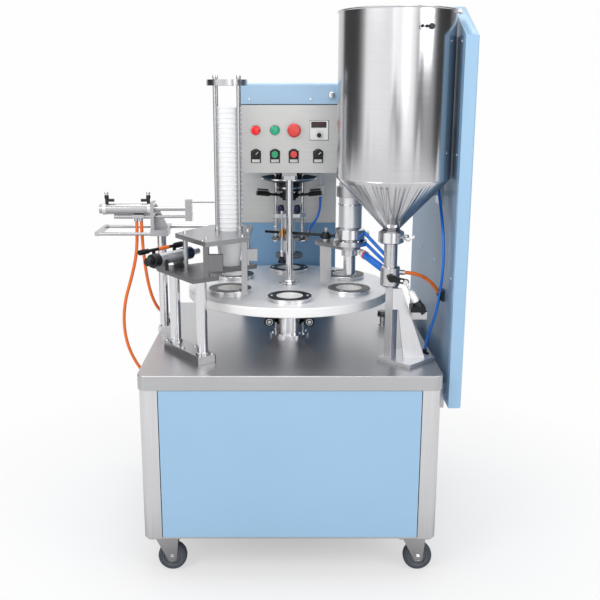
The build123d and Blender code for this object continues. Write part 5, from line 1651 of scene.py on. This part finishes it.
@dataclass
class Hopper:
    """The hopper with its clamps, outlet valve, lever, actuator and stand."""

    x: float = 270.0
    y: float = -250.0
    radius: float = 148.0
    rim: float = 913.0
    shoulder: float = 497.0
    neck_radius: float = 23.6
    neck: float = 365.5
    valve_least: float = 100.0
    stand_least: float = 150.0
    actuator_least: float = 50.0
    actuator_most: float = 30.0
    latch_turn: float = -70.0
    latch_drop: float = 47.0
    latch_end: float = 0.0085
    latch_half: float = 0.010
    latch_thick: float = 3.0
    latch_bolts: tuple[float, ...] = (-12.0, 0.0)
    latch_catch: float = 13.0
    clip_turn: float = -0.35
    clip_out: float = 3.0
    clip_drop: float = 7.0
    clip: Profile = ((0, -2), (3.5, -2), (3.5, 3), (6.5, 4), (7, 7), (5, 10), (0, 10.5))
    nut: Profile = ((0, 0), (6, 0), (6, 5), (4, 8), (0, 8))
    nut_seat: Point = (310.0, -280.0, 339.0)
    clevis: tuple[Point, Point] = ((324, -312, 128), (364, -280, 148))
    actuator_top: Point = (318.2, -301.0, 204.0)
    actuator_way: Point = (0.5, 0.0, -math.sin(math.radians(60)))
    sleeve: Profile = ((9.1, 33), (12.2, 33.5), (12.2, 70.8), (11.55, 70.8), (11.55, 46),
                       (9.1, 44))

    def build(self, kit: Kit) -> None:
        """Dresses the hopper's nodes and adds its fine parts."""
        dress("hopper", HOPPER_STEEL, ease=0.0)
        dress("outlet_valve", told_by("height", self.valve_least, TURNED, BRIGHT), ease=0.6)
        dress("valve_lever", BLACK_STEEL, "valve_lever", ease=0.4)
        dress("actuator_rod", BRIGHT, "actuator_rod", ease=0.3)
        flat_or_round = told_by("depth", self.actuator_most, BLACK_STEEL, WHITE)
        actuator = told_by("height", self.actuator_least, flat_or_round, BLACK_STEEL)
        dress("hopper_stand", told_by("height", self.stand_least, SHEET_Z, actuator), ease=0.8)
        self.weld("shoulder", self.radius, self.shoulder)
        self.weld("neck", self.neck_radius, self.neck)
        turned("actuator_sleeve", mm(*self.actuator_top), self.actuator_way, self.sleeve, BLACK,
               steps=36)
        low, high = self.clevis
        block("actuator_clevis", mm(*low), mm(*high), 1.2, SHEET_X)
        self.latch(kit)
        self.rim_clip()
        self.wing_nut()

    def weld(self, name: str, radius: float, height: float) -> None:
        """Lays a ground weld bead round the wall, at a radius and height in millimetres."""
        bead = [(radius - 0.4, height - 1.6), (radius + 0.5, height),
                (radius - 0.2, height + 1.6), (radius - 0.9, height)]
        turned("weld_" + name, mm(self.x, self.y, 0), Z_WAY, bead, BRIGHT, steps=96)

    def latch(self, kit: Kit) -> None:
        """Bolts the rounded latch plate and its catch on the wall."""
        out = bearing(math.radians(self.latch_turn))
        side = left_of(out)
        middle = mm(self.x, self.y, self.rim - self.latch_drop) + out * (self.radius * MM)
        points = []
        for k in range(28):
            turn = 2 * PI * k / 28
            half = self.latch_half if math.cos(turn) > 0 else -self.latch_half
            points.append(middle + side * (half + self.latch_end * math.cos(turn))
                          + Vector((0, 0, self.latch_end * math.sin(turn))))
        Shaper().plate(points, out, self.latch_thick).done("latch_plate", DRAWN, ease=0.6)
        face = middle + out * (self.latch_thick * MM)
        bolts = [face + side * (along * MM) for along in self.latch_bolts]
        kit.hex_heads("latch_bolts", facing(bolts, out), 4.2, 3.5, BLACK_STEEL)
        catch = face + side * (self.latch_catch * MM)
        kit.hex_heads("latch_catch", [(catch, out)], 7.6, 5.0, BLACK)

    def rim_clip(self) -> None:
        """Sets the round clip under the rim."""
        way = bearing(self.clip_turn)
        wall = way * ((self.radius + self.clip_out) * MM)
        seat = mm(self.x, self.y, self.rim - self.clip_drop) + wall
        turned("rim_clip", seat, way, self.clip, BRIGHT, steps=28)

    def wing_nut(self) -> None:
        """Turns the wing nut on the hopper clamp's bolt."""
        seat = mm(*self.nut_seat)
        nut = Shaper().lathe(seat, FRONT, self.nut, 24)
        up = Vector((0, 0, 0.004))
        for side in (-1, 1):
            root = seat + Vector((side * 0.004, -0.004, 0))
            tip = seat + Vector((side * 0.017, -0.008, 0.006))
            wing = [root - up, tip - up * 0.6, tip + up * 1.3, root + up]
            nut.plate(wing, Y_WAY, 2.2)
        nut.done("wing_nut", BRIGHT, ease=0.5)


@dataclass
class LidArm:
    """The swinging lid arm, its post and its picker."""

    pivot: Point = (107.0, -20.0)
    holder: Point = (-19.03, 28.38)
    picker: Point = (-22.62, 19.04)
    height: float = 307.0
    cup_low: float = 218.0
    holder_collar: Profile = ((6.6, -11.3), (7.4, -11.3), (12.5, -5.2), (12.5, 5.2),
                              (7.4, 11.3), (6.6, 11.3))
    picker_collar: Profile = ((3.6, -12.3), (6.8, -12.3), (7.4, -11.6), (7.4, 11.6),
                              (6.8, 12.3), (3.6, 12.3))
    cup: Profile = ((4.9, 18), (5.9, 18), (7.8, 10.6), (11.8, 2.6), (11.9, -0.6),
                    (11.2, -0.9), (10.8, 0), (10.8, 2), (6.8, 10))

    def build(self, kit: Kit) -> None:
        """Dresses the arm, its post and its picker."""
        dress("arm_post", MILLED, ease=0.7)
        dress("lid_arm", BLACK_STEEL, "lid_arm", ease=0.6)
        dress("lid_picker", BRIGHT, "lid_picker", ease=0.3)
        kit.hex_heads("pivot_nut", [(mm(*self.pivot, self.height + 14), Z_WAY)], 7.0, 7.0)
        collar = Shaper()
        collar.lathe(mm(*self.holder, self.height), Z_WAY, self.holder_collar, 48)
        collar.lathe(mm(*self.picker, self.height), Z_WAY, self.picker_collar, 36)
        collar.done("picker_collar", BRASS, "lid_arm")
        turned("picker_cup", mm(*self.picker, self.cup_low), Z_WAY, self.cup, RUBBER,
               "lid_picker", 40)


@dataclass
class Magazine:
    """The cup magazine: plates, cage and cups on their two columns."""

    x: float = -171.47
    y: float = -99.0
    plate_top: float = 337.0
    ring_top: float = 748.0
    cage_radius: float = 45.0
    first_lip: float = 322.0
    first_base: float = 216.0
    cups: int = 28
    pitch: float = 13.0
    column_least: float = 100.0
    plate_thick: float = 6.0
    foot_half: float = 19.0
    foot_shares: tuple[float, ...] = (-0.13, 0.5, 1.13)
    plate_bolts: tuple = ((-290, -160), (-222, -255), (-118, -122), (-161, -34), (-228, -300),
                          (-128, -220))
    left_column: Point = (-325.0, -149.0, 22.0)
    front_column: Point = (-238.0, -273.0, 22.0)
    rod_collar: Profile = ((4.6, 0), (5.3, 0.4), (5.3, 6.6), (4.6, 7))
    column_collar: Profile = ((15.2, 0), (18.5, 0), (18.5, 5), (17, 6.5), (15.2, 6.5))
    low_cup: Profile = ((0, 6), (26, 6), (26, 0), (27.2, 0), (28, 0.8), (37.3, 104),
                        (36.7, 104), (27.2, 8), (0, 7.2))
    high_cup: Profile = ((0, 6), (26, 6), (27.2, 2), (28, 2.8), (36.6, 96), (36, 96), (27, 8),
                         (0, 7.2))

    def build(self, kit: Kit) -> None:
        """Dresses the magazine and adds its screws and cups."""
        dress("magazine_plates", self.plates, ease=0.6)
        dress("magazine_cage", DRAWN, ease=0.7)
        dress("infeed_stand", told_by("height", self.column_least, BRIGHT, MILLED), ease=0.8)
        self.nest(kit)
        tops = self.cage(self.ring_top + self.plate_thick)
        kit.cap_screws("cage_screws", facing(tops, Z_WAY), 5.2)
        collars = Shaper()
        for spot in self.cage(self.plate_top + self.plate_thick):
            collars.lathe(spot, Z_WAY, self.rod_collar, 24)
        collars.done("cage_collars", BRIGHT)
        seats = [mm(x, y, self.plate_top) for x, y in self.plate_bolts]
        kit.cap_screws("plate_screws", facing(seats, Z_WAY), 5.0)
        self.foot_screws(kit)

    def cage(self, height: float) -> list[Vector]:
        """Gives the four cage rods' points at a height in millimetres."""
        return around(mm(self.x, self.y, height), self.cage_radius, 4, PI / 4)

    def plates(self, middle: Vector, size: Vector) -> Finish:
        """Tells the plates, standoffs, fingers and brackets apart."""
        if size.z < 15 and max(size) > 100:
            return MILLED if middle.z > 300 else DARK_PLATE
        if max(size) < 30 and middle.z > 310:
            return BLACK
        if size.x > 50 and size.y < 20:
            return DARK_PLATE
        return DRAWN if size.x < 16 else MILLED

    def nest(self, kit: Kit) -> None:
        """Nests the cups: lips and bands above, a whole cup below, an open mouth on top."""
        seat = spots_mesh("cup lips", [(mm(self.x, self.y, self.first_lip), Z_WAY)])
        stack = kit.cups.grow("cup_lips", seat, CUP, "cup_stack", Count=self.cups,
                              Pitch=self.pitch * MM, Rim_Radius=0.039, Lip=0.0019, Wall=0.0012,
                              Steps=80)
        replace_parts(stack, "cup_stack")
        last_base = self.first_base + self.pitch * (self.cups - 1)
        for name, base, cup in (("lowest_cup", self.first_base, self.low_cup),
                                ("highest_cup", last_base, self.high_cup)):
            turned(name, mm(self.x, self.y, base), Z_WAY, cup, CUP, "cup_stack", 72)

    def foot_screws(self, kit: Kit) -> None:
        """Screws down the foot block and puts a collar round each column's foot."""
        left = mm(*self.left_column)
        front = mm(*self.front_column)
        aside = left_of((front - left).normalized()) * (self.foot_half * MM)
        seats = [left + (front - left) * share + aside * side
                 for share in self.foot_shares for side in (-1, 1)]
        kit.cap_screws("foot_screws", facing(seats, Z_WAY), 4.8)
        for name, spot in (("left", left), ("front", front)):
            turned(f"column_collar_{name}", spot, Z_WAY, self.column_collar, BRIGHT, steps=48)


@dataclass
class Pusher:
    """The pusher unit on its own column, with its rails and fittings."""

    y: float = 40.0
    axis: float = 376.0
    rail_least: float = 200.0
    column_least: float = 200.0
    fitting_low: float = 390.0
    bracket_face: float = -402.0
    end_face: float = -290.0
    bracket_bolts: float = 15.0
    end_bolts: float = 7.0
    foot_bolts: float = 13.0
    knob_grip: float = 6.3
    end_rows: tuple[float, ...] = (347.0, 365.0, 387.0)
    column: Point = (-384.0, 40.0, 16.0)
    knob_low: float = 416.5
    caps: tuple = (("front", -417.0, -420.0), ("rear", -551.0, -544.0))
    ring: Profile = ((16.1, -6), (17.2, -5.2), (17.2, 5.2), (16.1, 6))
    knob: Profile = ((0, 0), (4, 0), (4, 3), (5.6, 3.6), (5.6, 9), (5, 10), (0, 10.4))

    def build(self, kit: Kit) -> None:
        """Dresses the unit and adds its screws, rings and flow knobs."""
        column_or_bracket = told_by("height", self.column_least, BRIGHT, MILLED)
        dress("pusher_stand", told_by("width", self.rail_least, DRAWN, column_or_bracket),
              ease=0.7)
        dress("pusher_cylinder", told_by("z", self.fitting_low, BLACK, DRAWN), ease=0.5)
        dress("pusher_rods", DRAWN, "pusher_rods", ease=0.6)
        face = [mm(self.bracket_face, self.y + aside, self.axis + up)
                for aside in (-self.bracket_bolts, self.bracket_bolts)
                for up in (-self.bracket_bolts, self.bracket_bolts)]
        kit.cap_screws("bracket_screws", facing(face, X_WAY), 3.0)
        end = [mm(self.end_face, self.y + aside, row)
               for aside in (-self.end_bolts, self.end_bolts) for row in self.end_rows]
        kit.cap_screws("end_block_screws", facing(end, X_WAY), 2.6, body="pusher_rods")
        foot = [mm(*self.column) + Vector((right, back, 0)) * (self.foot_bolts * MM)
                for right in (-1, 1) for back in (-1, 1)]
        kit.cap_screws("column_foot_screws", facing(foot, Z_WAY), 3.2)
        for name, cap_x, knob_x in self.caps:
            turned("cylinder_ring_" + name, mm(cap_x, self.y, self.axis), X_WAY, self.ring,
                   ALLOY, steps=48)
            turned("flow_knob_" + name, mm(knob_x, self.y, self.knob_low), Z_WAY, self.knob,
                   BRIGHT, steps=28)
            ribs = [(mm(knob_x, self.y, self.knob_low + self.knob_grip), Z_WAY)]
            kit.grip("flow_ribs_" + name, ribs, 5.7, 5.0, 18, BRIGHT, 0.5)


@dataclass
class Feed:
    """The slanted feed cylinder with its throttle bar."""

    back: Point = (-372.0, -215.0, 268.0)
    angle: float = 54.8
    cylinder_least: float = 50.0
    bar_least: float = 80.0
    bar_aside: float = 30.0
    bar_height: float = 22.0
    front_cap_at: float = 118.0
    back_cap_at: float = -7.0
    knurl_at: float = -15.0
    throttle_knurl_at: float = -10.0
    throttle_end_at: float = 138.0
    tube_at: float = 52.0
    front_cap: Profile = ((16.2, 0), (18, 0.8), (18, 33), (16.2, 33.8))
    back_cap: Profile = ((17.6, 0), (18.6, 0.8), (18.6, 24), (17.6, 25))
    tube: Profile = ((4.7, 0), (5.6, 0.5), (5.6, 40), (4.7, 40.5))
    end_plug: Profile = ((0, -27), (9.2, -27), (11.5, -24.4), (11.5, -6), (17.6, -6.4),
                         (17.6, -7.2), (0, -7.2))

    def build(self, kit: Kit) -> None:
        """Dresses the cylinder and adds its caps, knurls and tube."""
        bar_or_saddle = told_by("width", self.bar_least, ALLOY, DARK_PLATE)
        dress("feed_cylinder", told_by("height", self.cylinder_least, BLACK_STEEL, bar_or_saddle),
              ease=0.5)
        dress("feed_rod", BRIGHT, "feed_rod", ease=0.5)
        way = bearing(math.radians(self.angle))
        step = way * MM
        axis = mm(*self.back)
        bar = axis + left_of(step) * self.bar_aside + Vector((0, 0, self.bar_height * MM))
        turned("feed_front_cap", axis + step * self.front_cap_at, way, self.front_cap,
               DARK_BLUE, steps=48)
        turned("feed_back_cap", axis + step * self.back_cap_at, way, self.back_cap, BLACK,
               steps=48)
        knurl = axis + step * self.knurl_at
        kit.grip("feed_knurl", [(knurl, way)], 11.0, 17.0, 26, BLACK)
        knurl = bar + step * self.throttle_knurl_at
        kit.grip("throttle_knurl", [(knurl, way)], 7.0, 18.0, 20, BLACK, 0.8)
        knurl = bar + step * self.throttle_end_at
        kit.grip("throttle_end", [(knurl, way)], 8.0, 20.0, 22, BLACK, 0.8)
        turned("throttle_tube", bar + step * self.tube_at, way, self.tube, ORANGE_TUBE,
               steps=24)
        turned("feed_end_plug", axis, way, self.end_plug, BLACK, steps=48)


@dataclass
class SideHousing:
    """The blue side housing with its liner in painted shade, rails and hose clip."""

    inner: float = 424.0
    tall_least: float = 500.0
    shell_least: float = 10.0
    rail_least: float = 40.0
    clip_heights: tuple[float, ...] = (162.0, 181.0)
    screw_rows: tuple[float, ...] = (-82.0, 240.0, 560.0, 836.0)
    screw_columns: tuple[float, ...] = (-312.0, -60.0, 180.0, 375.0)

    def build(self, kit: Kit) -> None:
        """Dresses the housing and adds the clip's bands, a liner plate in painted shade and the
        liner's screws.
        """
        # Thin solids take the blue darkened by painted shade.
        shell_or_shaded_liner = told_by("width", self.shell_least, BLUE, SHADED_BLUE)
        rail_or_clip = told_by("depth", self.rail_least, SHEET_X, BLACK)
        dress("side_housing", told_by("height", self.tall_least, shell_or_shaded_liner, rail_or_clip),
              ease=0.8)
        for k, z in enumerate(self.clip_heights):
            block(f"clip_band_{k}", mm(self.inner - 15, -239, z),
                  mm(self.inner - 9.6, -203, z + 4), 0.6, BLACK)
        face = self.inner - 1.6
        # A thin plate in the darker blue over the inner face: painted shade.
        block("inner_shaded_liner", mm(face, -326, -94), mm(self.inner + 0.3, 388, 850), 0.4, SHADED_BLUE)
        seats = [mm(face, y, z) for y in self.screw_columns for z in self.screw_rows]
        kit.cap_screws("liner_screws", facing(seats, (-1, 0, 0)), low=True)


def main() -> None:
    """Builds the studio, the hoses and the sub-assemblies in order."""
    logging.basicConfig(level=logging.INFO, format="%(message)s")
    Studio().build()
    kit = Kit()
    for assembly in (Hoses(), Cabinet(), Casters(), RotaryTable(), RearColumn(),
                     SealingStation(), FillStation(), Hopper(), LidArm(), Magazine(), Pusher(),
                     Feed(), SideHousing()):
        assembly.build(kit)
        log.info("built %s", type(assembly).__name__)


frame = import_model()
solids = frame["nodes"]

if __name__ == "__main__":
    main()
